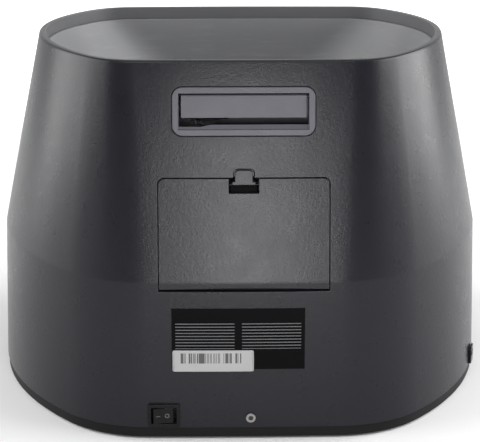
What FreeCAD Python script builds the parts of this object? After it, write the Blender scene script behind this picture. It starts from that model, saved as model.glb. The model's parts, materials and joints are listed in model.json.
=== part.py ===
import FreeCAD, Part
import math
import os
from FreeCAD import Matrix, Placement, Rotation, Vector

# Table-top coin sorting machine. Millimetres, +Z up, origin on the table under the middle of the machine.
# The rear, with the handle and the access door, faces +Y. The drawers and the keys face -Y.

# Overall sizes
BODY_WIDTH = 360.0
BODY_DEPTH = 330.0
BODY_HEIGHT = 258.0
CREASE_HEIGHT = 112.0         # the upright lower wall meets the tapered upper wall here
HOUSING_FOOT = 8.5            # lower edge of the housing
FOOT_HEIGHT = 1.5             # rubber feet under the base pan
WALL = 3.0
DRAFT = 3.2                   # how far the lower wall leans in by the crease
WIDEST_Y = -14.0
BACK_FLAT = 66.0              # half width of the nearly flat back
FRONT_FLAT = 95.0

# Hopper rim
RIM_SIDE_INSET = 34.5
RIM_BACK_INSET = 28.0
RIM_FRONT_INSET = 87.0
RIM_WIDEST_Y = 14.0
RIM_BACK_FLAT = 72.0
RIM_FRONT_FLAT = 84.0
RIM_ROLL = 2.4                # radius of the rolled outer edge
RIM_WIDTH = 5.0
RIM_DROP = 9.0                # height of the upright band inside the rim
BOWL_LEDGE = 1.5
BOWL_WALL = 2.5

# Directions in which the plan curves change radius, in degrees from the +X normal
BACK_TURNS = (42.0, 88.5)
FRONT_TURNS = (45.0, 88.0)

# Clearances
GAP = 0.5                     # parting lines of flush covers
SLIDE_GAP = 0.4
RUN_GAP = 0.05                # radial clearance of a shaft in its bearing
FIT_GAP = 0.3

# Covers that lie flush in the housing
COVER_LIP = 4.0
COVER_FRAME = 6.0             # depth of the frame moulded behind a cover
COVER_REST = WALL + 0.4
DOOR_WIDTH = 114.0
DOOR_BELOW_CREASE = 5.5
DOOR_BELOW_HANDLE = 44.0      # from the handle's middle to the door's upper edge
DOOR_CORNER = 4.0
DOOR_HINGE_R = 2.4
DOOR_PIN_R = 0.9
DOOR_PIN_REACH = 4.0
DOOR_SWING = 105.0            # how far the door opens, in degrees
LATCH_NOTCH_WIDTH = 20.0
LATCH_WIDTH = 12.0
LATCH_RISE = 5.5
LATCH_DROP = 4.3
LATCH_TRAVEL = 4.0
LATCH_NOTCH_DEPTH = LATCH_DROP + LATCH_TRAVEL + 1.4
PANEL_WIDTH = 190.0
PANEL_HEIGHT = 100.0
PANEL_MID = 0.47              # place of the panel's middle along the front slope
PANEL_CORNER = 8.0

# Handle
HANDLE_MID = 0.872093         # share of the body's height at the handle's middle
HANDLE_WIDTH = 95.0
HANDLE_TALL = 32.4
HANDLE_CORNER = 7.0
HANDLE_FRAME = 4.4
HANDLE_PROUD = 0.8
HANDLE_SEAT = 1.2
CUP_WALL = 2.0
CUP_DEPTH_LOW = 15.0
CUP_DEPTH_TOP = 8.4
GRIP_WIDTH = 83.0
GRIP_TALL = 14.0
GRIP_THICK = 3.0
GRIP_BARREL_R = 1.6
GRIP_PIN_R = 0.9
GRIP_AXIS_Y = HANDLE_TALL / 2 - HANDLE_FRAME - GRIP_BARREL_R - FIT_GAP
GRIP_AXIS_Z = -2.1
SCOOP_RISE = 3.0

# Switch, screw, cord outlet and labels on the lower wall
SWITCH_X = 54.8
SWITCH_Z = 17.75
SWITCH_WIDTH = 22.0
SWITCH_TALL = 16.5
SWITCH_DEPTH = 18.0
ROCKER_WIDTH = 16.6
ROCKER_TALL = 11.0
ROCKER_TILT = 8.0
ROCKER_PIN_R = 1.2
ROCKER_PIVOT = -2.2           # depth of the rocker's pivot behind the wall
REAR_SCREW_X = -4.5
REAR_SCREW_Z = 16.0
REAR_SCREW_R = 3.25
GLAND_TURN = 165.0
GLAND_Z = 16.5
GLAND_R = 5.5
GLAND_LIFT = 0.45             # collar's clearance from the leaning wall
CORD_R = 3.2
LABEL_THICK = 0.4
ADHESIVE = 0.1                # film under a label or a sticker
LABEL_X = 4.0
LABEL_WIDTH = 90.0
LABEL_BOTTOM = 51.0
LABEL_TALL = 43.0
STICKER_X = 21.0
STICKER_WIDTH = 55.0
STICKER_BOTTOM = 49.6
STICKER_TALL = 15.0

# Feed disc and its drive
DISC_FROM_BACK = 143.0        # from the back wall to the disc's axis
DISC_R = 85.4
DISC_THICK = 6.0
DISC_GAP = 0.6
DISC_RIBS = 6
DECK_TOP = 164.0
DECK_THICK = 4.0
DECK_WIDTH = 206.0
DECK_LONG = 134.0
DECK_Y = 50.0
BOWL_THROAT = 12.0            # height of the upright wall around the disc
SPINDLE_R = 5.0
BEARING_R = 11.0
BEARING_WIDTH = 7.0
GEAR_MODULE = 1.25
GEAR_TEETH = 63
PINION_TEETH = 18
GEAR_THICK = 8.0
GEAR_BOTTOM = 118.0
TOOTH_PLAY = 0.24
PRESSURE_ANGLE = math.radians(20.0)
MOTOR_R = 24.0
MOTOR_TALL = 52.0
MOTOR_SHAFT_R = 3.0
POST_R = 6.0
BOSS_R = 5.0

EXIT_WIDTH = 36.0             # slot in the throat through which coins leave the disc
EXIT_TALL = 6.0

# Drawers and sorting rail
DRAWER_COUNT = 6
BAY_MARGIN = 60.0             # from the machine's side to the drawer bay
DIVIDER = 1.6
RACK_FLOOR = 11.0
RACK_FLOOR_THICK = 1.4
DRAWER_TALL = 79.0
DRAWER_BACK_Y = -26.0
DRAWER_WALL = 1.8
PULL_R = 11.0
RAIL_Z = 108.0
RAIL_THICK = 2.0
RAIL_FROM_FRONT = 53.0        # from the front wall to the rail's middle
RAIL_WIDTH = 38.0
RAIL_OVERHANG = 10.0          # rail beyond the drawer bay at each end
COIN_SLOTS = (18.6, 19.8, 22.0, 25.0, 27.3, 31.5)
PULLEY_R = 10.0
PULLEY_WIDTH = 8.0
PULLEY_INSET = 8.0            # pulley axes inside the ends of the drawer bay
BELT_THICK = 2.0
COIN_SPACE = 1.9              # room for a coin between the rail and the belt
BELT_SHAFT_R = 2.0
BELT_PLATE = 3.0
BELT_PLATE_GAP = 3.0
BELT_MOTOR_R = 13.0
BELT_MOTOR_LONG = 34.0

# Keys and display
KEY_COUNT = 6
KEY_PITCH = 28.0
KEY_WIDTH = 18.0
KEY_TALL = 11.0
KEY_PROUD = 1.4
KEY_ROW = -26.0
WINDOW_WIDTH = 92.0
WINDOW_TALL = 36.0
WINDOW_ROW = 20.0
BOARD_DEPTH = 9.0
BOARD_THICK = 1.6
KEY_BOARD_MARGIN = 6.0        # from the control panel's edge to its board

# Feet, screw bosses, control board and power supply
FOOT_R = 9.0
FOOT_X = 115.0
FOOT_Y = 105.0
BOSS_TURNS = (22.0, 158.0, 205.0, -25.0)
BOSS_TALL = 26.0
BOARD_Z = 13.0
BOARD_SPAN = (-112.0, -24.0, 10.0, 98.0)
SUPPLY_SPAN = (30.0, 104.0, 30.0, 98.0)
SUPPLY_TALL = 44.0
FRONT_POST = (94.0, -8.0)
REAR_POST = (80.0, 108.0)
RAMP_THICK = 2.0
RAMP_WALL = 8.0

# Derived places
BACK_Y = BODY_DEPTH / 2
DISC_Y = BACK_Y - DISC_FROM_BACK
RAIL_Y = RAIL_FROM_FRONT - BACK_Y
RIM_Z = BODY_HEIGHT - RIM_ROLL
HANDLE_HEIGHT = HANDLE_MID * BODY_HEIGHT
DOOR_BOTTOM = CREASE_HEIGHT - DOOR_BELOW_CREASE
DOOR_TOP = HANDLE_HEIGHT - DOOR_BELOW_HANDLE
LIP_Z = BODY_HEIGHT - RIM_DROP
PAN_FLOOR = FOOT_HEIGHT + 3.0
DISC_BOTTOM = DECK_TOP + DISC_GAP
DISC_TOP = DISC_BOTTOM + DISC_THICK
THROAT_R = DISC_R + DISC_GAP
DECK_UNDER = DECK_TOP - DECK_THICK
GEAR_DISTANCE = GEAR_MODULE * (GEAR_TEETH + PINION_TEETH) / 2
MOTOR_Y = DISC_Y + GEAR_DISTANCE
BRACKET_TOP = GEAR_BOTTOM - 3.0
BRACKET_UNDER = BRACKET_TOP - 3.0
DRAWER_BOTTOM = RACK_FLOOR + RACK_FLOOR_THICK + SLIDE_GAP
DRAWER_TOP = DRAWER_BOTTOM + DRAWER_TALL
RACK_HALF = BODY_WIDTH / 2 - BAY_MARGIN
DRAWER_PITCH = 2 * RACK_HALF / DRAWER_COUNT
RAIL_HALF = RACK_HALF + RAIL_OVERHANG
PULLEY_X = RACK_HALF - PULLEY_INSET
RAIL_TOP = RAIL_Z + RAIL_THICK
PULLEY_Z = RAIL_TOP + COIN_SPACE + BELT_THICK + PULLEY_R
HINGE_Z = DOOR_BOTTOM + DOOR_HINGE_R
RAMP_END = Vector(DRAWER_PITCH / 2 - RACK_HALF, RAIL_Y + RAIL_WIDTH / 2 + 14.0, RAIL_TOP + 10.0)
EXIT_TURN = math.degrees(math.atan2(RAMP_END.y - DISC_Y, RAMP_END.x))
FAR = 400.0


def quarter_radii(half_width, depth, flat, turns):
    """Radii of the side, corner and end arcs that carry a plan curve through a quarter turn."""
    first, second = (math.radians(turn) for turn in turns)
    end = flat / math.cos(second)
    side_x, corner_x = 1 - math.cos(first), math.cos(first) - math.cos(second)
    side_y, corner_y = math.sin(first), math.sin(second) - math.sin(first)
    run_x, run_y = half_width - flat, depth - end * (1 - math.sin(second))
    scale = side_x * corner_y - corner_x * side_y
    side = (run_x * corner_y - corner_x * run_y) / scale
    corner = (side_x * run_y - run_x * side_y) / scale
    return side, corner, end


class Plan:
    """Closed plan curve of ten tangent arcs, alike on both sides of the middle plane."""

    def __init__(self, half_width, back, front, widest, back_flat, front_flat):
        right = []
        ends = ((-1, front, front_flat, FRONT_TURNS), (1, back, back_flat, BACK_TURNS))
        for sign, end_y, flat, turns in ends:
            depth = abs(end_y - widest)
            side, corner, end = quarter_radii(half_width, depth, flat, turns)
            first, second = turns
            side_centre = (half_width - side, widest)
            reach = math.radians(first)
            corner_x = side_centre[0] + (side - corner) * math.cos(reach)
            corner_y = widest + sign * (side - corner) * math.sin(reach)
            right.append(((corner_x, corner_y), corner, sign * first, sign * second))
            right.append((side_centre, side, 0.0, sign * first))
            right.append(((0.0, end_y - sign * end), end, sign * second, sign * (180.0 - second)))
        front_corner, front_side, front_end, back_corner, back_side, back_end = right
        half = [self.ordered(arc) for arc in (front_corner, front_side, back_side, back_corner)]
        left = [((-c[0], c[1]), r, 180.0 - b, 180.0 - a) for c, r, a, b in reversed(half)]
        closing = (front_end[0], front_end[1], 360.0 - FRONT_TURNS[1] - 2 * (90.0 - FRONT_TURNS[1]),
                   360.0 - FRONT_TURNS[1])
        self.arcs = half + [self.ordered(back_end)] + left + [closing]

    @staticmethod
    def ordered(arc):
        centre, radius, start, stop = arc
        return centre, radius, min(start, stop), max(start, stop)

    @staticmethod
    def at(arc, turn, z, inset):
        centre, radius = arc[0], arc[1] - inset
        angle = math.radians(turn)
        return Vector(centre[0] + radius * math.cos(angle), centre[1] + radius * math.sin(angle), z)

    def point(self, turn, z=0.0, inset=0.0):
        """Point of the curve whose outward normal makes this angle with +X."""
        for arc in self.arcs:
            if arc[2] <= turn <= arc[3]:
                return self.at(arc, turn, z, inset)
        return self.at(self.arcs[-1], turn + 360.0, z, inset)

    def wire(self, z, inset=0.0):
        edges = []
        for arc in self.arcs:
            turns = (arc[2], (arc[2] + arc[3]) / 2, arc[3])
            edges.append(Part.Arc(*[self.at(arc, turn, z, inset) for turn in turns]).toShape())
        return Part.Wire(edges)

    def prism(self, z0, z1, inset=0.0):
        return Part.Face(self.wire(z0, inset)).extrude(Vector(0, 0, z1 - z0))


class RoundPlan(Plan):
    """Circle cut at the same directions as another plan curve."""

    def __init__(self, model, centre_y, radius):
        self.arcs = [((0.0, centre_y), radius, arc[2], arc[3]) for arc in model.arcs]


BASE = Plan(BODY_WIDTH / 2, BACK_Y, -BACK_Y, WIDEST_Y, BACK_FLAT, FRONT_FLAT)
RIM = Plan(BODY_WIDTH / 2 - RIM_SIDE_INSET, BACK_Y - RIM_BACK_INSET, RIM_FRONT_INSET - BACK_Y,
           RIM_WIDEST_Y, RIM_BACK_FLAT, RIM_FRONT_FLAT)
THROAT = RoundPlan(RIM, DISC_Y, THROAT_R)


def lean(z):
    """Inset of the lower wall at a height."""
    return DRAFT * z / CREASE_HEIGHT


def loft(wires):
    return Part.makeLoft(wires, True, True)


def box(x0, x1, y0, y1, z0, z1):
    return Part.makeBox(x1 - x0, y1 - y0, z1 - z0, Vector(x0, y0, z0))


def rod(radius, z0, z1, x=0.0, y=0.0):
    return Part.makeCylinder(radius, z1 - z0, Vector(x, y, z0))


def bar(radius, x0, x1, y, z):
    """Round bar along X."""
    return Part.makeCylinder(radius, x1 - x0, Vector(x0, y, z), Vector(1, 0, 0))


def axle(radius, y0, y1, x, z):
    """Round bar along Y."""
    return Part.makeCylinder(radius, y1 - y0, Vector(x, y0, z), Vector(0, 1, 0))


def tube(outer, inner, z0, z1, x=0.0, y=0.0):
    return rod(outer, z0, z1, x, y).cut(rod(inner, z0 - 1, z1 + 1, x, y))


def joined(shapes):
    """One solid from several that overlap."""
    return shapes[0].multiFuse(shapes[1:]).removeSplitter() if len(shapes) > 1 else shapes[0]


def group(shapes):
    return Part.makeCompound(shapes)


def frame(origin, right, up, out):
    """Placement whose local X, Y and Z are these directions."""
    return Placement(Matrix(right.x, up.x, out.x, origin.x, right.y, up.y, out.y, origin.y,
                            right.z, up.z, out.z, origin.z, 0, 0, 0, 1))


def placed(shape, place):
    moved = shape.copy()
    moved.Placement = place.multiply(moved.Placement)
    return moved


def pad(width, height, z0, z1, corner, x=0.0, y=0.0):
    """Rounded rectangle in the local XY plane, between two local heights."""
    solid = Part.makeBox(width, height, z1 - z0, Vector(x - width / 2, y - height / 2, z0))
    upright = [edge for edge in solid.Edges if abs(edge.tangentAt(edge.FirstParameter).z) > 0.9]
    return solid.makeFillet(corner, upright)


def slab(points, x0, x1):
    """Polygon in the local YZ plane drawn out along local X."""
    corners = [Vector(x0, y, z) for y, z in points]
    return Part.Face(Part.makePolygon(corners + corners[:1])).extrude(Vector(x1 - x0, 0, 0))


def rear_place(x, z):
    """Local frame on the upright rear wall: local X points to -X, Y up and Z out."""
    back = BASE.arcs[4]
    y = back[0][1] + math.sqrt((back[1] - lean(z)) ** 2 - x * x)
    return frame(Vector(x, y, z), Vector(-1, 0, 0), Vector(0, 0, 1), Vector(0, 1, 0))


def slope_place(bottom_y, top_y, share, right):
    """Local frame on the tapered wall at a share of its height, with Z pointing out of the wall."""
    run, rise = top_y - bottom_y, RIM_Z - CREASE_HEIGHT
    length = math.hypot(run, rise)
    up = Vector(0, run / length, rise / length)
    origin = Vector(0, bottom_y + run * share, CREASE_HEIGHT + rise * share)
    return frame(origin, Vector(right, 0, 0), up, Vector(right, 0, 0).cross(up))


def rear_slope(z):
    share = (z - CREASE_HEIGHT) / (RIM_Z - CREASE_HEIGHT)
    return slope_place(BACK_Y - DRAFT, BACK_Y - RIM_BACK_INSET, share, -1)


FRONT_SLOPE = slope_place(DRAFT - BACK_Y, RIM_FRONT_INSET - BACK_Y, PANEL_MID, 1)
HANDLE_PLACE = rear_slope(HANDLE_HEIGHT)
LATCH_PLACE = rear_slope(DOOR_TOP)
HINGE_Y = BACK_Y - lean(HINGE_Z) - DOOR_HINGE_R
REAR_VIEW = frame(Vector(0, 0, 0), Vector(-1, 0, 0), Vector(0, 0, 1), Vector(0, 1, 0))


def body(inset):
    """Solid inside the housing's outer surface, drawn in sideways by an inset."""
    return loft([BASE.wire(0, inset), BASE.wire(CREASE_HEIGHT, DRAFT + inset), RIM.wire(RIM_Z, inset)])


BODY = {inset: body(inset) for inset in (0.0, WALL, COVER_REST, COVER_FRAME)}
SKIN = BODY[0.0].cut(BODY[WALL])


def door_outline(grow):
    """Prism through the rear wall with the door's outline, grown on all sides."""
    height = DOOR_TOP - DOOR_BOTTOM + 2 * grow
    middle = (DOOR_TOP + DOOR_BOTTOM) / 2
    return placed(pad(DOOR_WIDTH + 2 * grow, height, BACK_Y / 2, FAR, DOOR_CORNER, 0, middle), REAR_VIEW)


def panel_outline(grow):
    depth = BACK_Y / 3
    shape = pad(PANEL_WIDTH + 2 * grow, PANEL_HEIGHT + 2 * grow, -depth, depth, PANEL_CORNER)
    return placed(shape, FRONT_SLOPE)


def seat_cover(shell, outline):
    """Housing with a stepped opening in which a flush cover rests on a lip."""
    backing = BODY[0.0].cut(BODY[COVER_FRAME]).common(outline(GAP + COVER_LIP + 1.0))
    shell = shell.fuse(backing)
    shell = shell.cut(outline(GAP).cut(BODY[COVER_REST]))
    return shell.cut(outline(-COVER_LIP))


def outer_shell():
    """Housing walls with the rolled rim and the upright band inside it."""
    foot = BASE.wire(HOUSING_FOOT, lean(HOUSING_FOOT))
    sections = [foot, BASE.wire(CREASE_HEIGHT, DRAFT), RIM.wire(RIM_Z)]
    roll_steps = 4
    for step in range(1, roll_steps + 1):
        angle = math.pi / 2 * step / roll_steps
        height = RIM_Z + RIM_ROLL * math.sin(angle)
        sections.append(RIM.wire(height, RIM_ROLL * (1 - math.cos(angle))))
    shell = loft(sections)
    hollow = BODY[WALL].common(box(-FAR, FAR, -FAR, FAR, -1, LIP_Z))
    mouth = RIM.prism(LIP_Z - 1, BODY_HEIGHT + 1, RIM_WIDTH)
    return shell.cut(hollow).cut(mouth)


def boss_places():
    """Places of the four screw bosses beside the lower wall."""
    return [BASE.point(turn, HOUSING_FOOT, WALL + BOSS_R - 0.5) for turn in BOSS_TURNS]


def drawer_window():
    """Opening in the front wall for the row of drawers."""
    low, high = DRAWER_BOTTOM - SLIDE_GAP, DRAWER_TOP + SLIDE_GAP
    return box(-RACK_HALF, RACK_HALF, -FAR, -BACK_Y / 2, low, high)


def gland_place():
    point = BASE.point(GLAND_TURN, GLAND_Z, lean(GLAND_Z))
    angle = math.radians(GLAND_TURN)
    out = Vector(math.cos(angle), math.sin(angle), 0)
    return frame(point, Vector(0, 0, 1).cross(out), Vector(0, 0, 1), out)


def door_relief():
    """Side view of the room that the open door's face takes over the wall below it."""
    tilt = math.radians(DOOR_SWING - 90.0)
    low = HINGE_Z - (DOOR_HINGE_R + GAP / 2) / math.cos(tilt)
    out = 4 * DOOR_HINGE_R
    far_low = low - out * math.tan(tilt)
    return [(HINGE_Y, HINGE_Z), (HINGE_Y, low), (HINGE_Y + out, far_low), (HINGE_Y + out, HINGE_Z)]


def latch_recess():
    """Hollow in the housing above the door that takes the top of the latch tab."""
    width = LATCH_WIDTH + 2.0
    return placed(pad(width, 2 * LATCH_RISE + 2.0, -COVER_REST, WALL, WALL), LATCH_PLACE)


def housing():
    shell = seat_cover(outer_shell(), door_outline)
    shell = seat_cover(shell, panel_outline)
    half = DOOR_WIDTH / 2 + GAP
    shell = shell.cut(box(-half, half, BACK_Y / 2, FAR, DOOR_BOTTOM - GAP, HINGE_Z + 8.0))
    shell = shell.cut(slab(door_relief(), -half, half))
    notch = LATCH_NOTCH_WIDTH / 2
    shell = shell.cut(box(-notch, notch, BACK_Y / 2, FAR, DOOR_TOP - LATCH_NOTCH_DEPTH, DOOR_TOP + GAP))
    reach = DOOR_WIDTH / 2 + DOOR_PIN_REACH + FIT_GAP
    shell = shell.cut(bar(DOOR_PIN_R + RUN_GAP, -reach, reach, HINGE_Y, HINGE_Z))
    shell = shell.cut(latch_recess())
    width, tall = HANDLE_WIDTH + 2 * FIT_GAP, HANDLE_TALL + 2 * FIT_GAP
    seat = pad(width, tall, -HANDLE_SEAT, FAR / 10, HANDLE_CORNER)
    shell = shell.cut(placed(seat, HANDLE_PLACE))
    shell = shell.cut(placed(slab(cup_profile(FIT_GAP, 10.0), *cup_span(FIT_GAP)), HANDLE_PLACE))
    hole = pad(SWITCH_WIDTH - 2.4, SWITCH_TALL - 3.0, -10, 5, 1.0)
    shell = shell.cut(placed(hole, rear_place(SWITCH_X, SWITCH_Z)))
    shell = shell.cut(placed(rod(2.1, -6, 3), rear_place(REAR_SCREW_X, REAR_SCREW_Z)))
    notch = GLAND_R - 1.0
    shell = shell.cut(placed(box(-notch, notch, -GLAND_Z, notch, -12, 5), gland_place()))
    shell = shell.cut(drawer_window())
    for place in boss_places():
        shell = shell.fuse(tube(BOSS_R, 1.5, HOUSING_FOOT, HOUSING_FOOT + BOSS_TALL, place.x, place.y))
    return shell


def base_pan():
    """Tray under the machine, with a spigot inside the housing, ribs, bosses and board pillars."""
    edge = 1.0
    spigot, inner = WALL + 0.6, WALL + 2.8
    pan = BASE.prism(FOOT_HEIGHT, HOUSING_FOOT, edge)
    pan = pan.cut(BASE.prism(PAN_FLOOR, HOUSING_FOOT + 5, inner))
    collar = BASE.prism(PAN_FLOOR, RACK_FLOOR - 0.4, spigot).cut(BASE.prism(0, RACK_FLOOR, inner))
    lug_y = BACK_Y - inner - 9.0
    lug = box(REAR_SCREW_X - 6, REAR_SCREW_X + 6, lug_y, BACK_Y - spigot - 0.4, PAN_FLOOR - 1,
              REAR_SCREW_Z + 5)
    pieces = [pan, collar, lug]
    for x in (-RACK_HALF / 2, 0.0, RACK_HALF / 2):
        pieces.append(box(x - 1.5, x + 1.5, 20 - BACK_Y, DRAWER_BACK_Y - 6, PAN_FLOOR - 1, RACK_FLOOR))
    for x, y in board_pillars():
        pieces.append(rod(3.0, PAN_FLOOR - 1, BOARD_Z, x, y))
    pan = joined(pieces)
    for place in boss_places():
        pan = pan.cut(rod(BOSS_R + FIT_GAP, HOUSING_FOOT, RACK_FLOOR, place.x, place.y))
        pan = pan.fuse(rod(BOSS_R, PAN_FLOOR - 1, HOUSING_FOOT, place.x, place.y))
        pan = pan.cut(rod(1.8, 0, HOUSING_FOOT + 1, place.x, place.y))
        pan = pan.cut(rod(4.0, 0, PAN_FLOOR - 0.8, place.x, place.y))
    return pan.cut(placed(rod(1.9, -16, 0), rear_place(REAR_SCREW_X, REAR_SCREW_Z)))


def feet():
    places = [(x, y) for x in (-FOOT_X, FOOT_X) for y in (-FOOT_Y, FOOT_Y)]
    return group([rod(FOOT_R, 0, FOOT_HEIGHT, x, y) for x, y in places])


def screw(head_r, head, shank_r, length, recess_r):
    """Pan-head screw with its head above local Z = 0 and a round drive recess."""
    whole = joined([rod(head_r, 0, head), rod(shank_r, -length, head / 4)])
    return whole.cut(rod(recess_r, head * 0.35, head + 1))


def base_screws():
    down = Rotation(Vector(1, 0, 0), 180)
    head_z = PAN_FLOOR - 0.8
    shape = screw(3.4, 1.8, 1.5, 15.0, 1.4)
    return group([placed(shape, Placement(Vector(p.x, p.y, head_z), down)) for p in boss_places()])


def rear_screw():
    shape = screw(REAR_SCREW_R, 1.3, 1.9, 14.0, 1.7)
    shape.translate(Vector(0, 0, FIT_GAP))
    return placed(shape, rear_place(REAR_SCREW_X, REAR_SCREW_Z))


def cord_gland():
    """Bush for the supply cord, pushed up into a notch in the housing's lower edge."""
    foot = HOUSING_FOOT + FIT_GAP - GLAND_Z
    half = GLAND_R - 1.2
    tall = GLAND_R - foot
    collar = pad(2 * GLAND_R, tall, GLAND_LIFT, GLAND_LIFT + 1.5, 2.0, 0, foot + tall / 2)
    plug = box(-half, half, foot, half, 0.2 - WALL, GLAND_LIFT + 0.5)
    neck = rod(half, -8, GLAND_LIFT + 0.5)
    catch = tube(GLAND_R, GLAND_R - 2.2, -5.5, -4.0)
    bush = joined([collar, plug, neck, catch])
    return placed(bush.cut(rod(CORD_R, -9, 3)), gland_place())


def rear_plate(x, width, bottom, tall, lift):
    """Thin plate that follows the rear wall, lifted off it."""
    outside = lift + LABEL_THICK
    outer = loft([BASE.wire(0, -outside), BASE.wire(CREASE_HEIGHT, DRAFT - outside)])
    inner = loft([BASE.wire(0, -lift), BASE.wire(CREASE_HEIGHT, DRAFT - lift)])
    cutter = box(x - width / 2, x + width / 2, BACK_Y / 2, FAR, bottom, bottom + tall)
    return outer.cut(inner).common(cutter)


def switch_body():
    rim = pad(SWITCH_WIDTH, SWITCH_TALL, 0.5, 2.0, 1.5)
    can = pad(SWITCH_WIDTH - 3.0, SWITCH_TALL - 3.6, -SWITCH_DEPTH, 1.0, 0.8)
    well = pad(ROCKER_WIDTH + 2 * FIT_GAP, ROCKER_TALL + 2 * FIT_GAP, -8.5, 3, 0.4)
    tabs = [pad(0.8, 5.0, -SWITCH_DEPTH - 7, -SWITCH_DEPTH + 0.5, 0.2, x) for x in (-5.0, 5.0)]
    shape = joined([rim, can] + tabs).cut(well)
    reach = ROCKER_TALL + 2.4
    pivot = axle(ROCKER_PIN_R + RUN_GAP, -reach / 2, reach / 2, 0, ROCKER_PIVOT)
    return placed(shape.cut(pivot), rear_place(SWITCH_X, SWITCH_Z))


def switch_rocker():
    """Rocker with a dished face, turned to its off position about an upright pivot."""
    half = ROCKER_WIDTH / 2 - 0.5
    outline = [(-half, -2.6), (-half, 2.6), (0, 1.5), (half, 2.6), (half, -2.6), (0, -5.0)]
    corners = [Vector(x, -ROCKER_TALL / 2, z) for x, z in outline]
    paddle = Part.Face(Part.makePolygon(corners + corners[:1])).extrude(Vector(0, ROCKER_TALL, 0))
    pin_reach = ROCKER_TALL + 2.0
    pin = axle(ROCKER_PIN_R, -pin_reach / 2, pin_reach / 2, 0, ROCKER_PIVOT)
    shape = joined([paddle, pin])
    shape.rotate(Vector(0, 0, ROCKER_PIVOT), Vector(0, 1, 0), ROCKER_TILT)
    return placed(shape, rear_place(SWITCH_X, SWITCH_Z))


def rear_door():
    """Door that follows the wall, with a round hinge edge, a latch notch and two latch rails."""
    plate = SKIN.common(door_outline(0)).common(box(-FAR, FAR, 0, FAR, HINGE_Z, FAR))
    half = DOOR_WIDTH / 2
    barrel = bar(DOOR_HINGE_R, -half, half, HINGE_Y, HINGE_Z).common(BODY[0.0])
    rails = []
    for side in (-1, 1):
        edge = LATCH_WIDTH / 2 + 3.2 + FIT_GAP
        wall = pad(2.0, 18.0, -6.8, -1.5, 0.4, side * (edge + 1.0), -20.0)
        lip = pad(3.4, 18.0, -6.8, -5.6, 0.4, side * (edge + 0.3), -20.0)
        rails.append(placed(joined([wall, lip]), LATCH_PLACE))
    door = joined([plate, barrel] + rails)
    notch = LATCH_NOTCH_WIDTH / 2
    door = door.cut(box(-notch, notch, BACK_Y / 2, FAR, DOOR_TOP - LATCH_NOTCH_DEPTH, DOOR_TOP + 1))
    return door.cut(door_pin_bars(DOOR_PIN_R))


def door_pin_bars(radius):
    half, inside = DOOR_WIDTH / 2, 6.0
    bars = [bar(radius, x0, x0 + inside + DOOR_PIN_REACH, HINGE_Y, HINGE_Z)
            for x0 in (half - inside, -half - DOOR_PIN_REACH)]
    return group(bars)


def door_latch():
    """Sprung tab: a rounded thumb piece in the notch, on a slider behind the door."""
    tall = LATCH_RISE + LATCH_DROP
    middle = (LATCH_RISE - LATCH_DROP) / 2
    thumb = pad(LATCH_WIDTH, tall, -2.6, -0.4, 2.6, 0, middle)
    foot_y = -LATCH_DROP + 1.1
    foot = pad(LATCH_WIDTH + 3.6, 2.2, -2.6, -0.4, 0.6, 0, foot_y)
    stem = pad(8.0, 2.2, -4.2, -1.5, 0.6, 0, foot_y)
    slider = pad(LATCH_WIDTH + 6.0, 24.0, -5.2, -WALL - 0.4, 1.0, 0, foot_y - 10.9)
    return placed(joined([thumb, foot, stem, slider]), LATCH_PLACE)


def cup_profile(grow, front=0.0):
    """Side view of the handle cup, deeper at its foot than at its top."""
    half = HANDLE_TALL / 2 - HANDLE_FRAME + CUP_WALL + grow
    low, top = -CUP_DEPTH_LOW - CUP_WALL - grow, -CUP_DEPTH_TOP - CUP_WALL - grow
    return [(-half, front), (-half, low), (half, top), (half, front)]


def cup_span(grow):
    half = HANDLE_WIDTH / 2 - HANDLE_FRAME + CUP_WALL + grow
    return -half, half


def handle_cup():
    """Frame and finger cup in one moulding, with a sloped ledge at the foot of the opening."""
    rim = pad(HANDLE_WIDTH, HANDLE_TALL, -HANDLE_SEAT, HANDLE_PROUD, HANDLE_CORNER)
    cup = joined([rim, slab(cup_profile(0.0), *cup_span(0.0))])
    inner = slab(cup_profile(-CUP_WALL, 5.0), *cup_span(-CUP_WALL))
    foot = -HANDLE_TALL / 2 + HANDLE_FRAME
    ledge = slab([(foot - 1, -1.0), (foot - 1, -12.0), (foot + SCOOP_RISE, -9.0), (foot, -0.4)],
                 *cup_span(-CUP_WALL + 0.5))
    cup = joined([cup.cut(inner), ledge])
    return placed(cup.cut(bar(GRIP_PIN_R, -FAR, FAR, GRIP_AXIS_Y, GRIP_AXIS_Z)), HANDLE_PLACE)


def handle_grip():
    """Grip plate that folds out about the pin along its top edge."""
    half = GRIP_WIDTH / 2
    low = GRIP_AXIS_Y - GRIP_TALL
    plate = pad(GRIP_WIDTH, GRIP_TALL, GRIP_AXIS_Z - 1.5, GRIP_AXIS_Z - 1.5 + GRIP_THICK, 0.8,
                0, low + GRIP_TALL / 2)
    barrel = bar(GRIP_BARREL_R, -half, half, GRIP_AXIS_Y, GRIP_AXIS_Z)
    grip = joined([plate, barrel]).cut(bar(GRIP_PIN_R + RUN_GAP, -FAR, FAR, GRIP_AXIS_Y, GRIP_AXIS_Z))
    return placed(grip, HANDLE_PLACE)


def handle_pin():
    start, stop = cup_span(0.0)
    return placed(bar(GRIP_PIN_R, start, stop, GRIP_AXIS_Y, GRIP_AXIS_Z), HANDLE_PLACE)


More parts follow.
